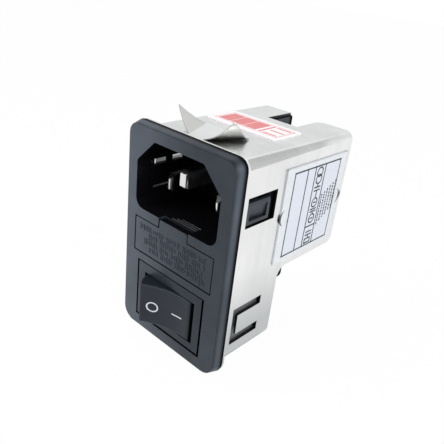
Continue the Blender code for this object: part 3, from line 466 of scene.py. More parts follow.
def moulded_plastic(name, colour, roughness=0.42, grain=0.000012, gloss_level=0.5,
                    tint=(0.80, 0.90, 1.0), edge=(2.4, 0.4, 0.0003), painted_shade=(),
                    dark_rim_reflection=None, painted_light=None, shadow=None, crest_highlight=None):
    """Dyed plastic with a fine spark-eroded grain, cloudy gloss, and worn edges with a painted
    highlight.

    edge is the brightness, cover and width of the paler edges, partly wear and partly a
    painted highlight; each band of painted shade is an axis and the two places between which
    the skin turns dark; the dark rim is a painted dark reflection round a plate's front edge;
    the painted light is the shares of tone and gloss, first at the left and on the right
    flank, then right of the middle; shadow is how near to other pieces the skin turns dark
    with painted shade; the crest's painted highlight lies between two heights, where the
    front turns pale.
    """
    finish = Finish(name)
    cloud = finish.clouds(180, 4, edges=(0.35, 0.65))
    cloud_depth = 0.14
    dark_share = 0.08
    crest_highlight_cover = 0.8
    dark_rim_reflection_cover = 0.5
    bright, cover, width = edge
    level = gloss_level
    # Painted light: paler skin and more gloss at the left and on the right flank, deeper right of
    # the middle
    if painted_light:
        left, right = painted_light
        flank = finish.product(
            finish.ramp(finish.facing(0), *turned_right),
            finish.ramp(finish.along(2), *flank_heights, flank_least, 1.0))
        across = finish.larger(finish.ramp(finish.along(0), painted_light_right, painted_light_left), flank)
        body = finish.mix(across, finish.clouded(cloud, shade(colour, right), cloud_depth),
                          finish.clouded(cloud, shade(colour, left), cloud_depth))
        level = finish.ramp(across, 0, 1, gloss_level * right, gloss_level * left)
    else:
        body = finish.clouded(cloud, colour, cloud_depth)
    speckle = finish.ramp(finish.clouds(2600, 2, edges=(0.42, 0.62)), 0, 1, cover * 0.3, cover)
    # Edges turn paler, partly wear and partly a painted highlight
    skin = finish.mix(finish.product(finish.wear_and_highlight_edge(width), speckle), body,
                      shade(colour, bright))
    # A painted highlight along the crest, on faces turned to the front
    if crest_highlight:
        line = finish.product(finish.ramp(finish.along(2), *crest_highlight),
                              finish.ramp(finish.facing(1), *turned_front, 0.0, crest_highlight_cover))
        skin = finish.mix(line, skin, shade(colour, bright))
    # Painted shade in bands and near other pieces, and a painted dark reflection, darken skin and
    # gloss
    dark = [finish.ramp(finish.along(axis), start, end) for axis, start, end in painted_shade]
    if shadow:
        dark.append(finish.crease(shadow))
    # A painted dark reflection along a plate's front edge
    if dark_rim_reflection:
        turned = finish.ramp(finish.facing(1), *turned_off_front)
        near = finish.ramp(finish.along(1), dark_rim_reflection[1], dark_rim_reflection[0])
        dark.append(finish.ramp(finish.product(turned, near), 0, 1, 0.0, dark_rim_reflection_cover))
    if dark:
        mask = functools.reduce(finish.larger, dark)
        skin = finish.mix(mask, skin, shade(colour, dark_share))
        level = finish.product(level, finish.ramp(mask, 0, 1, 1.0, dark_share))
    gloss = finish.clouds(420, 3, roughness - 0.05, roughness + 0.06)
    return finish.result(skin, gloss, finish.noise(5200, 2, 0.6), grain, 0.5,
                         **{"Specular Tint": tint, "Specular IOR Level": level})


def rolled_metal(name, colour, roughness=0.3, streak=(1, 14, 14), cloud_depth=0.06,
                 fold_shade=0.6, reach=0.0015, foot_shade=None):
    """Rolled or brushed metal: fine streaks, soft clouds, dull spots, painted shade in the folds.

    The two heights at the foot are where the metal turns darker with painted shade.
    """
    finish = Finish(name)
    drawn = finish.noise(420, 2, vector=finish.stretched(streak))
    band = finish.noise(330, 2, vector=finish.stretched((1, 1, 0.06)))
    skin = finish.clouded(finish.clouds(110), colour, cloud_depth)
    cold = cool(colour)
    streaks = finish.ramp(drawn, 0.35, 0.65, 0.0, 0.22)
    bands = finish.ramp(band, 0.40, 0.66, 0.0, cloud_depth * 4)
    spots = finish.clouds(260, 3, 0.0, 0.3, (0.62, 0.78))
    # Painted shade in folds and corners
    folds = finish.ramp(finish.crease(reach), 0, 1, 0.0, fold_shade)
    layers = [(streaks, colour, 0.88), (bands, cold, 0.78), (spots, colour, 0.82),
              (folds, colour, 0.25)]
    # Painted shade that darkens the metal towards the foot
    if foot_shade:
        foot = finish.product(finish.ramp(finish.along(2), *foot_shade),
                              finish.ramp(band, 0.2, 0.8, 0.8, 1.0))
        layers.insert(1, (foot, cold, 0.56))
    for mask, tone, share in layers:
        skin = finish.mix(mask, skin, shade(tone, share))
    gloss = finish.ramp(drawn, 0.3, 0.7, roughness - 0.04, roughness + 0.06)
    return finish.result(skin, gloss, drawn, 0.000003, 0.25, Metallic=1.0)


def coated_paper(name, colour):
    """Coated label stock: even, with faint fibre clouds and a slight waviness."""
    finish = Finish(name)
    fibre = finish.clouds(900, 4, rough=0.6)
    skin = finish.mix(fibre, shade(colour, 0.97), shade(colour, 1.02))
    return finish.result(skin, finish.clouds(300, 2, 0.40, 0.50), finish.noise(260, 2),
                         0.00001, 0.4)


def printed_ink(name, colour, roughness=0.5, cover=0.12):
    """A printed layer, a little thinner in small patches."""
    finish = Finish(name)
    thin = finish.clouds(3000, 3, 0.0, cover, (0.45, 0.7))
    gloss = finish.clouds(1200, 2, roughness - 0.06, roughness + 0.06)
    return finish.result(finish.mix(thin, colour, shade(colour, 1.8)), gloss,
                         finish.noise(4000, 2), 0.000004, 0.4)


def shade_sheet(name, front, rear, clear):
    """A cloudy sheet of painted shade that dims what lies behind it, less at its rear end's upper
    edge, where a clearer strip paints light.
    """
    finish = Finish(name)
    tone = finish.mix(finish.ramp(finish.along(1), slot_box[0][1], slot_box[1][1]), front, rear)
    lit_strip = finish.product(finish.ramp(finish.along(2), lit_strip_low, lit_strip_low + 0.0001),
                           finish.ramp(finish.along(1), *lit_strip_start))
    tone = finish.mix(lit_strip, tone, clear)
    skin = finish.mix(finish.clouds(900, 3, 0.0, 0.25), tone, shade(rear, 0.6))
    return finish.result(skin, finish.clouds(700, 2, 0.3, 0.4), finish.noise(1200, 2),
                         0.000004, 0.3, **{"IOR": 1.02, "Transmission Weight": 1.0})


def glazed(name, colour, roughness, metallic=0.0):
    """A plain inner finish with slight clouds in its colour and gloss."""
    finish = Finish(name)
    gloss = finish.clouds(1200, 2, roughness * 0.85, roughness * 1.15)
    return finish.result(finish.clouded(finish.clouds(600), colour, 0.1), gloss,
                         finish.noise(1800, 2), 0.00001, 0.3, Metallic=metallic)


def fuse_glass():
    """Clear tube glass with faint draw lines."""
    finish = Finish("fuse_glass_tube")
    drawn = finish.noise(500, 2, vector=finish.stretched((1, 0.1, 1)))
    tint = finish.mix(finish.ramp(drawn, 0.3, 0.7), (0.93, 0.97, 0.95), (0.98, 1.0, 0.99))
    return finish.result(tint, finish.ramp(drawn, 0.3, 0.7, 0.02, 0.07), drawn, 0.000003, 0.3,
                         **{"IOR": 1.5, "Transmission Weight": 1.0})


# Every finish, by the name that the pieces ask for, filled by the first operator
surfaces = {}


def make_surfaces():
    """Makes all finishes and names them for the pieces."""
    colours = bpy.context.scene.line_filter_colours
    black = colours.moulding
    front_painted_light = (1.42, 0.70)
    # The springs take strong painted shade in their folds
    grain_of_spring = {"roughness": 0.34, "streak": (2, 1, 2), "cloud_depth": 0.04,
                       "fold_shade": 0.9, "reach": 0.003}
    surfaces.update({
        # The drawer's moulding and the switch frame carry the same painted light across the front
        "moulding": moulded_plastic("moulded_black", black, painted_light=front_painted_light),
        "frame": moulded_plastic("switch_frame_black", shade(black, 0.74), gloss_level=0.37,
                                 painted_light=(1.50, 0.72)),
        # The bezel's sides darken towards the can's flange with painted shade, and a painted dark
        # reflection runs round its front edge
        "bezel": moulded_plastic("moulded_bezel_black", black, painted_light=front_painted_light,
                                 painted_shade=((1, bezel_back - 0.0010, bezel_back - 0.0003),),
                                 dark_rim_reflection=(bezel_front + 0.0003, bezel_front + 0.0009)),
        # The switch tube's walls are a paler, lit copy of the black moulding, painted light, with
        # painted shade near the can's sheet
        "tube": moulded_plastic("switch_tube_lit_black", (0.14, 0.145, 0.15), 0.5,
                                tint=(0.95, 0.98, 1.0), shadow=0.0007),
        # The latches are a darker copy of the moulding, with painted shade at their edges and near
        # other pieces
        "latch": moulded_plastic("latch_shaded_black", shade(black, 0.8), tint=(0.92, 0.97, 1.0),
                                 gloss_level=0.42, painted_shade=((1, 0.0014, 0.0006),),
                                 shadow=0.0006),
        "slot_shade": shade_sheet("latch_slot_shade_sheet", (0.125, 0.13, 0.13), (0.21, 0.215, 0.22),
                              (0.80, 0.81, 0.82)),
        # Painted shade in the inlet, the switch recess, the drawer's tab, the switch hole and the
        # rocker's ends
        "cavity": moulded_plastic("inlet_cavity_black", colours.cavity, 0.3, 0.000004, 0.18),
        # The rocker's finish paints a highlight on its edges and along its crest, and painted
        # shade towards its right edge
        "rocker": moulded_plastic("rocker_black", colours.rocker, 0.4, 0.000006, 0.36,
                                  edge=(8.0, 0.9, 0.0007), painted_shade=((0, 0.0060, 0.0078),),
                                  crest_highlight=rocker_crest_highlight),
        # The cover darkens in bands near its rear edge, under the can's top and at the step, a
        # painted shade
        "cover": moulded_plastic("cover_black", shade(black, 0.9), 0.48,
                                 painted_shade=((1, cover_rear - 0.0016, cover_rear - 0.0008),
                                        (2, cover_top - 0.0006, cover_top - 0.0003),
                                        (2, step_height + 0.0002, step_height - 0.0002))),
        # The can turns darker towards its foot, a painted shade
        "tinned": rolled_metal("tinned_can_sheet", colours.tinned, foot_shade=(-0.0015, -0.0170)),
        # The can's cut edges are painted near black, a painted shade of the gaps behind them
        "can_cut": rolled_metal("can_cut_edge_shade", (0.05, 0.05, 0.055), 0.5),
        "spring": rolled_metal("snap_spring_steel", colours.spring, **grain_of_spring),
        # The right ear is a darker copy of the spring steel, a painted shade
        "spring_shaded_ear": rolled_metal("snap_spring_curl", shade(colours.spring, 0.80),
                                    **grain_of_spring),
        # The flat leaf is a paler copy of the spring steel, a painted light
        "spring_lit_flat": rolled_metal("snap_spring_flat", (0.92, 0.92, 0.92), 0.3, (2, 1, 2), 0.03),
        "spring_cut": rolled_metal("snap_spring_cut_edge", shade(colours.spring, 0.75)),
        "plating": rolled_metal("pin_nickel_plating", colours.plating, 0.2, (6, 1, 6)),
        # Pin faces turned up or right are painted darker, a painted shade
        "plating_shade": rolled_metal("pin_plating_shade", shade(colours.plating, 0.2), 0.3,
                                     (6, 1, 6)),
        "brass": rolled_metal("contact_brass", (0.78, 0.58, 0.28), 0.3, (4, 1, 4)),
        "label": coated_paper("side_label_paper", colours.label),
        "sticker": coated_paper("sticker_paper", (0.93, 0.885, 0.89)),
        "tint": printed_ink("label_pale_field", (0.63, 0.655, 0.72), 0.45, 0.02),
        "ink": printed_ink("label_dark_ink", colours.print_ink),
        "note_ink": printed_ink("label_small_print", shade(colours.print_ink, 1.2)),
        # A grey line inside the label's left, right and top edges, a painted shade of the paper's
        # edge
        "edge_shade": printed_ink("label_edge_shade_ink", (0.36, 0.37, 0.40)),
        "field": printed_ink("sticker_red_ink", colours.sticker_ink, 0.45, 0.2),
        "marks": printed_ink("rocker_mark_paint", colours.marks),
        "copper": glazed("enamelled_copper_wire", (0.62, 0.22, 0.09), 0.28, 0.6),
        "ferrite": glazed("ferrite_ring", (0.07, 0.08, 0.09), 0.6),
        "board": glazed("board_green", (0.05, 0.22, 0.09), 0.4),
        "yellow": glazed("capacitor_yellow", (0.80, 0.52, 0.07), 0.4),
        "blue": glazed("disc_blue", (0.08, 0.22, 0.55), 0.35),
        "beige": glazed("resistor_beige", (0.66, 0.52, 0.34), 0.5),
        "glass": fuse_glass(),
    })


# Meshes

def placed(shape, name, material):
    """Turns mesh code into an object in the scene."""
    mesh = bpy.data.meshes.new(name)
    shape.to_mesh(mesh)
    shape.free()
    mesh.materials.append(material)
    obj = bpy.data.objects.new(name, mesh)
    bpy.context.scene.collection.objects.link(obj)
    return obj


def new_piece(shape, name, surface, body):
    """Turns mesh code into a piece that rides on a body."""
    obj = placed(shape, name, surfaces[surface])
    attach(obj, body)
    return obj


def finished(shape, name, surface, body="housing"):
    """Turns mesh code whose faces may look either way into a piece."""
    bmesh.ops.recalc_face_normals(shape, faces=shape.faces)
    return new_piece(shape, name, surface, body)


def round_edges(obj, width, angle, segments=1):
    rounding = obj.modifiers.new("Edge", "BEVEL")
    rounding.width = width
    rounding.segments = segments
    rounding.limit_method = "ANGLE"
    rounding.angle_limit = math.radians(angle)


def even_faces(obj):
    """Smooth shading that keeps flat faces flat beside their rounded edges."""
    obj.data.shade_smooth()
    obj.data.set_sharp_from_angle(angle=math.radians(sharp_angle))
    weighted = obj.modifiers.new("Even faces", "WEIGHTED_NORMAL")
    weighted.keep_sharp = True
    weighted.weight = 100


def dressed(node, name, surface, edge=0.0, segments=2, angle=50):
    """A piece in a node's own shape, with whole flat faces and rounded edges."""
    shape = bmesh.new()
    shape.from_mesh(nodes[node].data)
    bmesh.ops.remove_doubles(shape, verts=shape.verts, dist=film / 10)
    bmesh.ops.dissolve_limit(shape, angle_limit=math.radians(flat_angle), verts=shape.verts,
                             edges=shape.edges)
    obj = new_piece(shape, name, surface, nodes[node]["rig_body"])
    if edge:
        round_edges(obj, edge, angle, segments)
    even_faces(obj)
    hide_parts(node)
    return obj


def moulding(node, name, surface):
    """A piece in a node's shape in black moulding, its edges rounded as the user sets."""
    return dressed(node, name, surface,
                   bpy.context.scene.line_filter_sizes.moulding_edge)


def dress_nodes(surface, *names):
    """A better finish on nodes whose shape stays."""
    for name in names:
        materials = nodes[name].data.materials
        if not materials:
            materials.append(surfaces[surface])
        for index in range(len(materials)):
            materials[index] = surfaces[surface]


def paint(obj, surface_names, choose):
    """Adds finishes after a piece's own, which is 0; choose gives the number for a face."""
    for name in surface_names:
        obj.data.materials.append(surfaces[name])
    for face in obj.data.polygons:
        face.material_index = int(choose(face))


def on_plane(axis, level, way=1):
    """Turns (a, b, lift) into space, on a plane across an axis and lifted off it."""
    def place(a, b, lift):
        point = [a, b]
        point.insert(axis, level + way * lift)
        return Vector(point)
    return place


def prism(shape, outline, place, depth):
    """A thin slab over a closed outline of (a, b) points; place turns (a, b, depth) into space."""
    low = [shape.verts.new(place(a, b, 0)) for a, b in outline]
    high = [shape.verts.new(place(a, b, depth)) for a, b in outline]
    shape.faces.new(low)
    shape.faces.new(high)
    join_loops(shape, low, high)


def join_loops(shape, one, other):
    """Four-sided faces between two loops with as many points."""
    for i in range(len(one)):
        j = (i + 1) % len(one)
        shape.faces.new((one[i], one[j], other[j], other[i]))


def slabs(name, surface, outlines, place, depth=print_film, body="housing"):
    """A piece of thin slabs over closed outlines."""
    shape = bmesh.new()
    for outline in outlines:
        prism(shape, outline, place, depth)
    return finished(shape, name, surface, body)


def on_circle(centre, radius, angle):
    return centre[0] + radius * math.cos(angle), centre[1] + radius * math.sin(angle)


def ring(shape, centre, outer, inner, place, depth, steps):
    """A flat ring with thickness."""
    loops = [[shape.verts.new(place(*on_circle(centre, radius, math.tau * i / steps), level))
              for i in range(steps)]
             for radius, level in ((outer, 0), (outer, depth), (inner, depth), (inner, 0))]
    for one, other in zip(loops, loops[1:] + loops[:1]):
        join_loops(shape, one, other)


def bar(a1, b1, a2, b2):
    """The outline of a rectangle between two corners."""
    return [(a1, b1), (a2, b1), (a2, b2), (a1, b2)]


def border(a1, b1, a2, b2, line):
    """The outlines of four lines inside a rectangle's sides."""
    return [bar(a1, b1, a1 + line, b2), bar(a2 - line, b1, a2, b2),
            bar(a1, b1, a2, b1 + line), bar(a1, b2 - line, a2, b2)]


def rounded_rectangle(a1, b1, a2, b2, radius, steps=5):
    """The outline of a rectangle with rounded corners."""
    corners = ((a2 - radius, b2 - radius, 0), (a1 + radius, b2 - radius, 90),
               (a1 + radius, b1 + radius, 180), (a2 - radius, b1 + radius, 270))
    return [on_circle((a, b), radius, math.radians(start + 90 * step / steps))
            for a, b, start in corners for step in range(steps + 1)]


def crescent(centre, middle, radius, width, sweep, steps=20, least=0.04):
    """The outline of a crescent on a circle, thickest at its middle angle."""
    outer, inner = [], []
    for step in range(steps + 1):
        angle = math.radians(middle + sweep * (step / steps - 0.5))
        thick = width * (math.sin(math.pi * step / steps) + least)
        outer.append(on_circle(centre, radius, angle))
        inner.append(on_circle(centre, radius - thick, angle))
    return outer + inner[::-1]


# Operators

class LINEFILTER_OT_finishes(Operator):
    """Makes every finish"""

    bl_idname = "line_filter.finishes"
    bl_label = "Finishes"

    def execute(self, context):
        make_surfaces()
        return {"FINISHED"}


class LINEFILTER_OT_bezel(Operator):
    """Bezel, inlet shroud and drawer bay in black moulding"""

    bl_idname = "line_filter.bezel"
    bl_label = "Front bezel"

    def execute(self, context):
        bezel = moulding("front_bezel", "bezel_moulding", "bezel")
        self.widen_recess(bezel.data)
        paint(bezel, ("cavity", "latch", "tube"), self.finish_of)
        ridges = []
        for step in range(ridge_count):
            front = ridge_front + ridge_pitch * step
            ridges.append(bar(ridge_left + ridge_shortening * step, front,
                              ridge_right, front + ridge_width))
        # The ridges take the tube's paler finish as a painted highlight
        slabs("thumb_ridges", "tube", ridges, on_plane(2, inlet_low),
              ridge_height)
        # A sheet of painted shade in the left latch's slot
        low, high = slot_box
        slabs("latch_slot_shade_sheet", "slot_shade", [bar(*low[1:], *high[1:])],
              on_plane(0, low[0]), high[0] - low[0])
        return {"FINISHED"}

    def widen_recess(self, mesh):
        """Moves the side and lower rims of the switch recess outwards."""
        for vertex in mesh.vertices:
            x, y, z = vertex.co
            if y < bezel_back and recess_low - film < z < recess_high + film:
                if abs(x - recess_half) < film:
                    vertex.co.x += recess_widening
                elif abs(x + recess_half) < film:
                    vertex.co.x -= recess_widening / 2
                if abs(z - recess_low) < film and abs(x) < recess_half + film:
                    vertex.co.z -= recess_widening

    def finish_of(self, face):
        """0 for the bezel, 1 for hollows in painted shade, 2 for the latches, which paint shade,
        and 3 for the switch tube, which paints light.
        """
        x, y, z = face.center
        side = abs(x)
        in_inlet = inlet_low - film < z < inlet_high + shroud_wall
        if y > bezel_back:
            if z < recess_high and side > tube_half - film:
                return 3
            return 2 if in_inlet and side > inlet_half + shroud_wall + film else 1
        in_recess = (side < recess_half + 2 * recess_widening
                     and recess_low - 2 * recess_widening < z < recess_high - recess_widening)
        in_hollow = in_recess or (in_inlet and side < inlet_half + film)
        return 1 if y > bezel_front + inlet_lip and in_hollow else 0


class LINEFILTER_OT_can(Operator):
    """Folded tinned can"""

    bl_idname = "line_filter.can"
    bl_label = "Filter can"

    def execute(self, context):
        can = dressed("filter_can", "tinned_can", "tinned")
        paint(can, ("can_cut",), self.is_cut)
        return {"FINISHED"}

    def is_cut(self, face):
        """Whether a face is the sheet's cut edge in the notch, a window or a grip slot, which
        takes painted shade.
        """
        x, y, z = face.center
        in_notch = (y > notch_front - film and abs(x) < notch_half + film
                    and z > cover_top - film and abs(face.normal.z) < cut_turn)
        in_window = (0 < y < window_rear and can_side_wall[0] < abs(x) < can_side_wall[1]
                     and abs(z) < window_reach and abs(face.normal.x) < cut_turn)
        return in_notch or in_window


class LINEFILTER_OT_springs(Operator):
    """Snap springs above and below the can"""

    bl_idname = "line_filter.springs"
    bl_label = "Snap springs"

    def execute(self, context):
        for end, side in (("top", 1), ("bottom", -1)):
            low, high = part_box(f"snap_spring_{end}")
            leaf = finished(self.leaf(low[2] if side > 0 else high[2], side),
                            f"spring_leaf_{end}", "spring")
            paint(leaf, ("spring_cut", "spring_lit_flat", "spring_shaded_ear"), self.finish_of)
            thick = leaf.modifiers.new("Sheet", "SOLIDIFY")
            thick.thickness = leaf_sheet
            thick.offset = side
            thick.use_even_offset = True
            thick.material_offset_rim = 1
            round_edges(leaf, context.scene.line_filter_sizes.sheet_edge, leaf_edge_angle)
            even_faces(leaf)
            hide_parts(f"snap_spring_{end}")
        return {"FINISHED"}

    def finish_of(self, face):
        """0 for the left ear, whose cut edge takes 1, 2 for the flat leaf, a paler copy that
        paints light, 3 for the right ear, a darker copy that paints shade.
        """
        if abs(face.normal.z) > flat_turn:
            return 2
        return 3 if face.center.x > leaf_shift else 0

    def leaf(self, level, side):
        """The flat leaf, and two ears that curl up from slanted folds to their tips."""
        shape = bmesh.new()

        def corner(hand, spot):
            return Vector((leaf_shift + hand * spot[0], spot[1], level))

        outline = [shape.verts.new(corner(hand, (fold_front[0], leaf_front))) for hand in (-1, 1)]
        folds = {}
        for hand in (1, -1):
            start, end = corner(hand, fold_front), corner(hand, fold_rear[hand])
            folds[hand] = (start, end, [shape.verts.new(start.lerp(end, i / ear_rows))
                                        for i in range(ear_rows + 1)])
        outline += folds[1][2]
        outline += [shape.verts.new(corner(hand, (fold_rear[hand][0], leaf_end)))
                    for hand in (1, -1)]
        outline += folds[-1][2][::-1]
        shape.faces.new(outline)
        for hand, (start, end, base) in folds.items():
            self.ear(shape, start, end, base, hand, side)
        return shape

    def ear(self, shape, start, end, base, hand, side):
        """Rows of points that follow an arc up from the fold and narrow to one point."""
        along = (end - start).normalized()
        across = Vector((along.y, -along.x, 0)) * hand
        length = (end - start).length
        first = ear_start_angle[hand]
        last = 2 * math.atan2(ear_lift, ear_lean[hand]) - first
        curl = (math.sin(last) - math.sin(first)) / ear_lean[hand]
        below = base
        for row in range(1, ear_rows + 1):
            share = row / ear_rows
            angle = first + (last - first) * share
            out = (math.sin(angle) - math.sin(first)) / curl
            lift = Vector((0, 0, side * (math.cos(first) - math.cos(angle)) / curl))
            here = []
            for i in range(1 if row == ear_rows else len(base)):
                place = (1 - share) * i / (len(base) - 1) + share * ear_foot_share[hand]
                here.append(shape.verts.new(start + along * (length * place) + across * out
                                            + lift))
            for i in range(len(base) - 1):
                upper = here[:1] if row == ear_rows else (here[i + 1], here[i])
                shape.faces.new((below[i], below[i + 1], *upper))
            below = here


class LINEFILTER_OT_cover(Operator):
    """Black rear cover"""

    bl_idname = "line_filter.cover"
    bl_label = "Rear cover"

    def execute(self, context):
        moulding("rear_cover", "cover_moulding", "cover")
        return {"FINISHED"}


class LINEFILTER_OT_pins(Operator):
    """Inlet pins and rear tabs in nickel plating"""

    bl_idname = "line_filter.pins"
    bl_label = "Pins and tabs"

    def execute(self, context):
        for name, shares in pin_tips.items():
            pin = dressed(f"pin_{name}", f"inlet_pin_{name}", "plating")
            self.shape_tip(pin.data, *shares)
            if name != "earth":
                paint(pin, ("plating_shade",), self.is_shaded)
            dressed(f"rear_tab_{name}", f"solder_tab_{name}", "plating")
        return {"FINISHED"}

    def is_shaded(self, face):
        """Whether a face looks up or to the right, where the plating takes painted shade."""
        return max(face.normal.x, face.normal.z) > shade_turn

    def shape_tip(self, mesh, width, height):
        """Narrows or widens the flat of a pin's tip about its middle."""
        front = min(vertex.co.y for vertex in mesh.vertices)
        for axis, share in ((0, width), (2, height)):
            places = [vertex.co[axis] for vertex in mesh.vertices]
            middle = (min(places) + max(places)) / 2
            for vertex in mesh.vertices:
                if vertex.co.y < front + pin_tip_depth:
                    vertex.co[axis] = middle + (vertex.co[axis] - middle) * share


class LINEFILTER_OT_drawer(Operator):
    """Fuse drawer with its fuses and contact springs"""

    bl_idname = "line_filter.drawer"
    bl_label = "Fuse drawer"

    def execute(self, context):
        drawer = moulding("fuse_drawer", "drawer_moulding", "moulding")
        paint(drawer, ("cavity",), self.in_inlet)
        slabs("drawer_relief", "moulding", self.ticks(),
              on_plane(1, drawer_front, -1), context.scene.line_filter_sizes.relief,
              "fuse_drawer")
        for hand in ("left", "right"):
            dress_nodes("glass", f"fuse_glass_{hand}")
            dress_nodes("plating", f"fuse_wire_{hand}", f"fuse_cap_{hand}_front",
                        f"fuse_cap_{hand}_rear")
            dress_nodes("brass", f"fuse_contact_{hand}_front", f"fuse_contact_{hand}_rear")
        return {"FINISHED"}

    # Faces of the drawer inside the inlet, which take the painted cavity shade
    def in_inlet(self, face):
        return face.center.y > bezel_front + film and face.center.z > drawer_tab_foot

    def ticks(self):
        """The outlines of ticks in rows and of a fuse sign on the drawer's face."""
        outlines = []
        chance = random.Random(5)
        for z, left, right in tick_rows:
            x = left
            count = 0
            while x < right:
                tall = chance.choice(tick_heights)
                outlines.append(bar(x, z - tall / 2, x + tick_width, z + tall / 2))
                if chance.random() < dash_share:
                    foot = z + chance.choice((-tall / 2, 0, tall / 2 - dash_drop))
                    outlines.append(bar(x + tick_width, foot, x + dash_end, foot + dash_height))
                count += 1
                x += chance.uniform(*tick_pitch)
                if count > chance.randint(*tick_group):
                    x += group_gap
                    count = 0
        return [*outlines, bar(*fuse_sign)]


class LINEFILTER_OT_switch(Operator):
    """Switch housing, rocker with its marks, plungers and contacts"""

    bl_idname = "line_filter.switch"
    bl_label = "Rocker switch"

    def execute(self, context):
        housing = moulding("switch_housing", "switch_frame", "frame")
        hole_right = rocker_box[1][0]
        for vertex in housing.data.vertices:
            if vertex.co.y < bezel_back and hole_right < vertex.co.x < hole_right + rocker_gap:
                vertex.co.x += rocker_gap_widening
        paint(housing, ("cavity",), self.in_hole)
        rocker = dressed("rocker", "rocker_key", "rocker", rocker_edge,
                         rocker_edge_steps, rocker_edge_angle)
        paint(rocker, ("cavity",), self.is_end)
        self.marks(rocker.data, context.scene.line_filter_sizes.mark_stroke)
        for pole in ("lower", "upper"):
            dress_nodes("beige", f"plunger_{pole}")
            dress_nodes("brass", f"contact_blade_{pole}")
            dress_nodes("plating", f"switch_terminal_common_{pole}",
                        f"switch_terminal_switched_{pole}")
        return {"FINISHED"}

    # Faces inside the switch hole, which take the painted cavity shade
    def in_hole(self, face):
        return face.center.y > bezel_front + frame_front_depth and face.center.z < frame_top

    def is_end(self, face):
        """Whether a face of the rocker looks to a side or down, where it takes the painted cavity
        shade.
        """
        return abs(face.normal.x) > end_turn or face.normal.z < -end_turn

    def marks(self, mesh, width):
        """The O and the I, laid on the rocker's curved face."""
        tree = BVHTree.FromPolygons([vertex.co.copy() for vertex in mesh.vertices],
                                    [tuple(face.vertices) for face in mesh.polygons])
        start = rocker_box[0][1] - 0.01

        def on_face(x, z, lift):
            spot = tree.ray_cast(Vector((x, start, z)), Vector((0, 1, 0)))[0]
            if spot is None:
                raise RuntimeError("a rocker mark lies off the rocker")
            return spot + Vector((0, -lift, 0))

        shape = bmesh.new()
        ring(shape, off_mark, off_radius, off_radius - width, on_face, film, 48)
        left = on_mark[0] - on_length / 2
        for i in range(on_pieces):
            prism(shape, bar(left + on_length * i / on_pieces, on_mark[1] - width / 2,
                             left + on_length * (i + 1) / on_pieces, on_mark[1] + width / 2),
                  on_face, film)
        finished(shape, "rocker_marks", "marks", "rocker")


class LINEFILTER_OT_filter(Operator):
    """Choke, capacitors, resistor and board inside the can"""

    bl_idname = "line_filter.filter"
    bl_label = "Filter parts"

    def execute(self, context):
        dress_nodes("ferrite", "choke_core")
        dress_nodes("copper", "choke_winding_left", "choke_winding_right")
        dress_nodes("yellow", "line_capacitor")
        dress_nodes("blue", "earth_capacitor_left", "earth_capacitor_right")
        dress_nodes("beige", "discharge_resistor")
        dress_nodes("board", "circuit_board")
        return {"FINISHED"}


class LINEFILTER_OT_label(Operator):
    """Side label with its printed table"""

    bl_idname = "line_filter.label"
    bl_label = "Side label"

    def execute(self, context):
        line = context.scene.line_filter_sizes.border_line
        low, high = label_box
        base = low[0] - skin_gap + print_film
        label = slabs("label_paper", "label",
                      [rounded_rectangle(*low[1:], *high[1:], label_corner)],
                      on_plane(0, base), high[0] - base)
        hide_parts("side_label")

        on_label = on_plane(0, high[0])
        left, foot, right, top = table_box
        slabs("label_field", "tint", [bar(*table_box)], on_label, tint_film)
        # The grey lines along the label's edges are painted shade
        left_side, right_side, _, top_side = border(*low[1:], *high[1:], line / 4)
        slabs("label_edge_shade", "edge_shade", [left_side, right_side, top_side], on_label,
              tint_film)
        slabs("label_table", "ink",
              [*border(*table_box, line), *(bar(y, foot, y + line, top) for y in column_lines),
               bar(column_lines[1], sign_foot, column_lines[2], sign_foot + line)], on_label)
        self.signs(on_label, line)
        slabs("label_notes", "note_ink", self.notes(), on_label)
        slabs("label_dents", "ink", self.dent_shades(), on_label)
        return {"FINISHED"}

    def signs(self, on_label, line):
        """Generic circuit signs down the narrow column: coils, capacitors and a resistor."""
        shape = bmesh.new()
        middle = (column_lines[1] + column_lines[2]) / 2 + line / 2
        left, right = middle - sign_half, middle + sign_half
        for z in coil_heights:
            ring(shape, (middle, z), sign_half, sign_half - line, on_label, print_film, 28)
        cores = [bar(middle - sign_half / 2, z - line / 2, middle + sign_half / 2, z + line / 2)
                 for z in coil_heights[2:]]
        plates = [bar(left, z, right, z + line) for z in plate_heights]
        leads = [bar(middle - line / 2, foot, middle + line / 2, top)
                 for foot, top in lead_heights]
        resistor = border(left, resistor_heights[0], right, resistor_heights[1] + line, line)
        for outline in (*cores, *plates, *leads, *resistor):
            prism(shape, outline, on_label, print_film)
        finished(shape, "label_signs", "ink")

    def notes(self):
        """The outlines of short dashes in rows."""
        outlines = []
        chance = random.Random(9)
        for row in range(note_rows):
            y, z = (start + step * row for start, step in zip(note_start, note_step))
            end = z - note_length
            while z > end:
                length = chance.uniform(*note_dash)
                outlines.append(bar(y, z - length, y + note_width, z))
                z -= length + chance.uniform(*note_gap)
        return outlines

    def dent_shades(self):
        """The outlines of crescents of painted shade where the label bridges the two peg holes."""
        outlines = []
        for y, middle in dent_places:
            outlines.append(crescent((y, dent_rise), middle, *dent_deep))
            outlines.append(crescent((y, dent_rise), middle + 180, *dent_far))
        return outlines


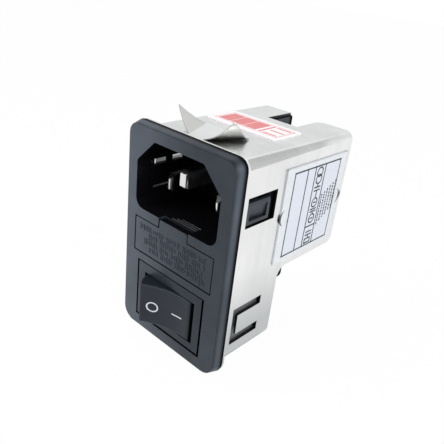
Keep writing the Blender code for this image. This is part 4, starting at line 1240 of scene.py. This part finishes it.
class LINEFILTER_OT_sticker(Operator):
    """Sticker on the can's top"""

    bl_idname = "line_filter.sticker"
    bl_label = "Top sticker"

    def execute(self, context):
        low, high = sticker_box
        base = low[2] - skin_gap + print_film
        sticker = slabs("sticker_sheet", "sticker",
                        [rounded_rectangle(*low[:2], *high[:2], sticker_corner)],
                        on_plane(2, base), high[2] - base)
        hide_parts("top_sticker")
        slabs("sticker_fields", "field", self.fields(), on_plane(2, high[2]))
        return {"FINISHED"}

    def fields(self):
        """The outlines of a border line, three fields, an upright bar and three level bars."""
        (low_x, low_y, _), (high_x, high_y, _) = sticker_box
        margins, line, inner = sticker_margins, sticker_line, sticker_inner
        left, front = low_x + margins[0], low_y + margins[1]
        right, rear = high_x - margins[2], high_y - margins[3]
        split = left + (right - left) * field_share
        foot, top = front + inner, rear - inner
        outlines = [*border(left, front, right, rear, line),
                    bar(split + inner, foot, split + 2 * inner, top)]
        wide = (split - left - inner) / field_count
        for i in range(field_count):
            start = left + inner + wide * i
            outlines.append(bar(start, foot, start + wide - line, top))
        for level in (foot, (foot + top - inner) / 2, top - inner):
            outlines.append(bar(split + 3 * inner, level, right - inner, level + inner))
        return outlines


class LINEFILTER_OT_stage(Operator):
    """Pale floor, soft lamps, white surroundings and the camera"""

    bl_idname = "line_filter.stage"
    bl_label = "Stage"

    def execute(self, context):
        scene = context.scene
        self.floor(cad_box[0][2] - scene.line_filter_sizes.floor_gap,
                   scene.line_filter_colours.floor)
        self.world(scene)
        for name, (place, size, power) in lamps.items():
            self.lamp(scene, name, Vector(place), size, power)
        bpy.data.objects["key_lamp"].visible_glossy = False
        self.camera(scene)
        scene.view_settings.view_transform = "Standard"
        return {"FINISHED"}

    def floor(self, level, colour):
        """A wide floor that turns pale where a camera or mirrored ray meets it."""
        shape = bmesh.new()
        outline = bar(-floor_half, -floor_half, floor_half, floor_half)
        shape.faces.new([shape.verts.new((a, b, level)) for a, b in outline])
        finish = Finish("floor_pale")
        tone = finish.mix(finish.clouds(6), shade(colour, floor_evenness), colour)
        feed(finish.tree, finish.shader.inputs["Base Color"], tone)
        finish.shader.inputs["Roughness"].default_value = floor_roughness
        glow = self.blend(finish.tree, self.seen(finish.tree, floor_brightness), finish.shader,
                          finish.node("Emission"))
        feed(finish.tree, finish.tree.nodes["Material Output"].inputs["Surface"],
             glow.outputs[0])
        obj = placed(shape, "floor", finish.material)

    def blend(self, tree, share, first, second):
        """A blend of two shader nodes."""
        return add_node(tree, "MixShader",
                        {0: share, 1: first.outputs[0], 2: second.outputs[0]})

    def seen(self, tree, share):
        """The share where a camera, glossy or transmission ray arrives, and 0 elsewhere."""
        path = add_node(tree, "LightPath").outputs
        arrives = path["Is Camera Ray"]
        for ray in ("Is Glossy Ray", "Is Transmission Ray"):
            arrives = combined(tree, "MAXIMUM", arrives, path[ray])
        return combined(tree, "MULTIPLY", arrives, share)

    def world(self, scene):
        """Plain light on matt faces, white behind, and toned surroundings for metal."""
        scene.world = bpy.data.worlds.new("studio")
        scene.world.use_nodes = True
        tree = scene.world.node_tree
        ambient = tree.nodes["Background"]
        feed(tree, ambient.inputs["Color"], ambient_tone)
        ambient.inputs["Strength"].default_value = ambient_strength
        place = add_node(tree, "TexCoord").outputs["Generated"]
        height = add_node(tree, "SeparateXYZ", {0: place}).outputs["Z"]
        ramp = add_node(tree, "ValToRGB", {0: height})
        elements = ramp.color_ramp.elements
        while len(elements) < len(mirrored_stops):
            elements.new(0.5)
        for element, (stop, tone) in zip(elements, mirrored_stops):
            element.position = stop
            element.color = (*shade(mirrored_tone, tone), 1.0)
        shine = add_node(tree, "Background", {"Color": ramp.outputs[0]})
        white = add_node(tree, "Background", {"Color": (1.0, 1.0, 1.0)})
        glossy = add_node(tree, "LightPath").outputs["Is Glossy Ray"]
        bright = self.blend(tree, glossy, white, shine)
        sky = self.blend(tree, self.seen(tree, 1.0), ambient, bright)
        feed(tree, tree.nodes["World Output"].inputs["Surface"], sky.outputs[0])

    def lamp(self, scene, name, place, size, power):
        """A rectangular lamp aimed at the origin."""
        data = bpy.data.lights.new(name, "AREA")
        data.shape = "RECTANGLE"
        data.size, data.size_y = size
        data.energy = power
        obj = bpy.data.objects.new(name, data)
        scene.collection.objects.link(obj)
        obj.location = place
        obj.rotation_euler = (-place).to_track_quat("-Z", "Y").to_euler()

    def camera(self, scene):
        data = bpy.data.cameras.new("camera")
        data.lens = camera_lens
        data.sensor_width = camera_sensor
        data.clip_start = camera_clip
        obj = bpy.data.objects.new("camera", data)
        scene.collection.objects.link(obj)
        pose = Matrix((camera_right, camera_up, camera_back)).transposed().to_4x4()
        pose.translation = camera_place
        obj.matrix_world = pose
        scene.camera = obj


class LINEFILTER_PT_pieces(Panel):
    """Lists the pieces, sizes and colours"""

    bl_label = "Line filter"
    bl_idname = "LINEFILTER_PT_pieces"
    bl_space_type = "VIEW_3D"
    bl_region_type = "UI"
    bl_category = "Line filter"

    def draw(self, context):
        layout = self.layout
        for operator in operators:
            layout.operator(operator.bl_idname)
        for group in (context.scene.line_filter_sizes, context.scene.line_filter_colours):
            for key in group.bl_rna.properties.keys():
                if key not in ("name", "rna_type"):
                    layout.prop(group, key)


operators = (
    LINEFILTER_OT_finishes, LINEFILTER_OT_bezel, LINEFILTER_OT_can, LINEFILTER_OT_springs,
    LINEFILTER_OT_cover, LINEFILTER_OT_pins, LINEFILTER_OT_drawer, LINEFILTER_OT_switch,
    LINEFILTER_OT_filter, LINEFILTER_OT_label, LINEFILTER_OT_sticker, LINEFILTER_OT_stage)
classes = (LineFilterSizes, LineFilterColours, *operators, LINEFILTER_PT_pieces)


def register():
    for item in classes:
        bpy.utils.register_class(item)
    bpy.types.Scene.line_filter_sizes = PointerProperty(type=LineFilterSizes)
    bpy.types.Scene.line_filter_colours = PointerProperty(type=LineFilterColours)


def unregister():
    del bpy.types.Scene.line_filter_colours
    del bpy.types.Scene.line_filter_sizes
    for item in reversed(classes):
        bpy.utils.unregister_class(item)


def main():
    register()
    bpy.ops.line_filter.finishes()
    bpy.ops.line_filter.bezel()
    bpy.ops.line_filter.can()
    bpy.ops.line_filter.springs()
    bpy.ops.line_filter.cover()
    bpy.ops.line_filter.pins()
    bpy.ops.line_filter.drawer()
    bpy.ops.line_filter.switch()
    bpy.ops.line_filter.filter()
    bpy.ops.line_filter.label()
    bpy.ops.line_filter.sticker()
    bpy.ops.line_filter.stage()


if __name__ == "__main__":
    main()
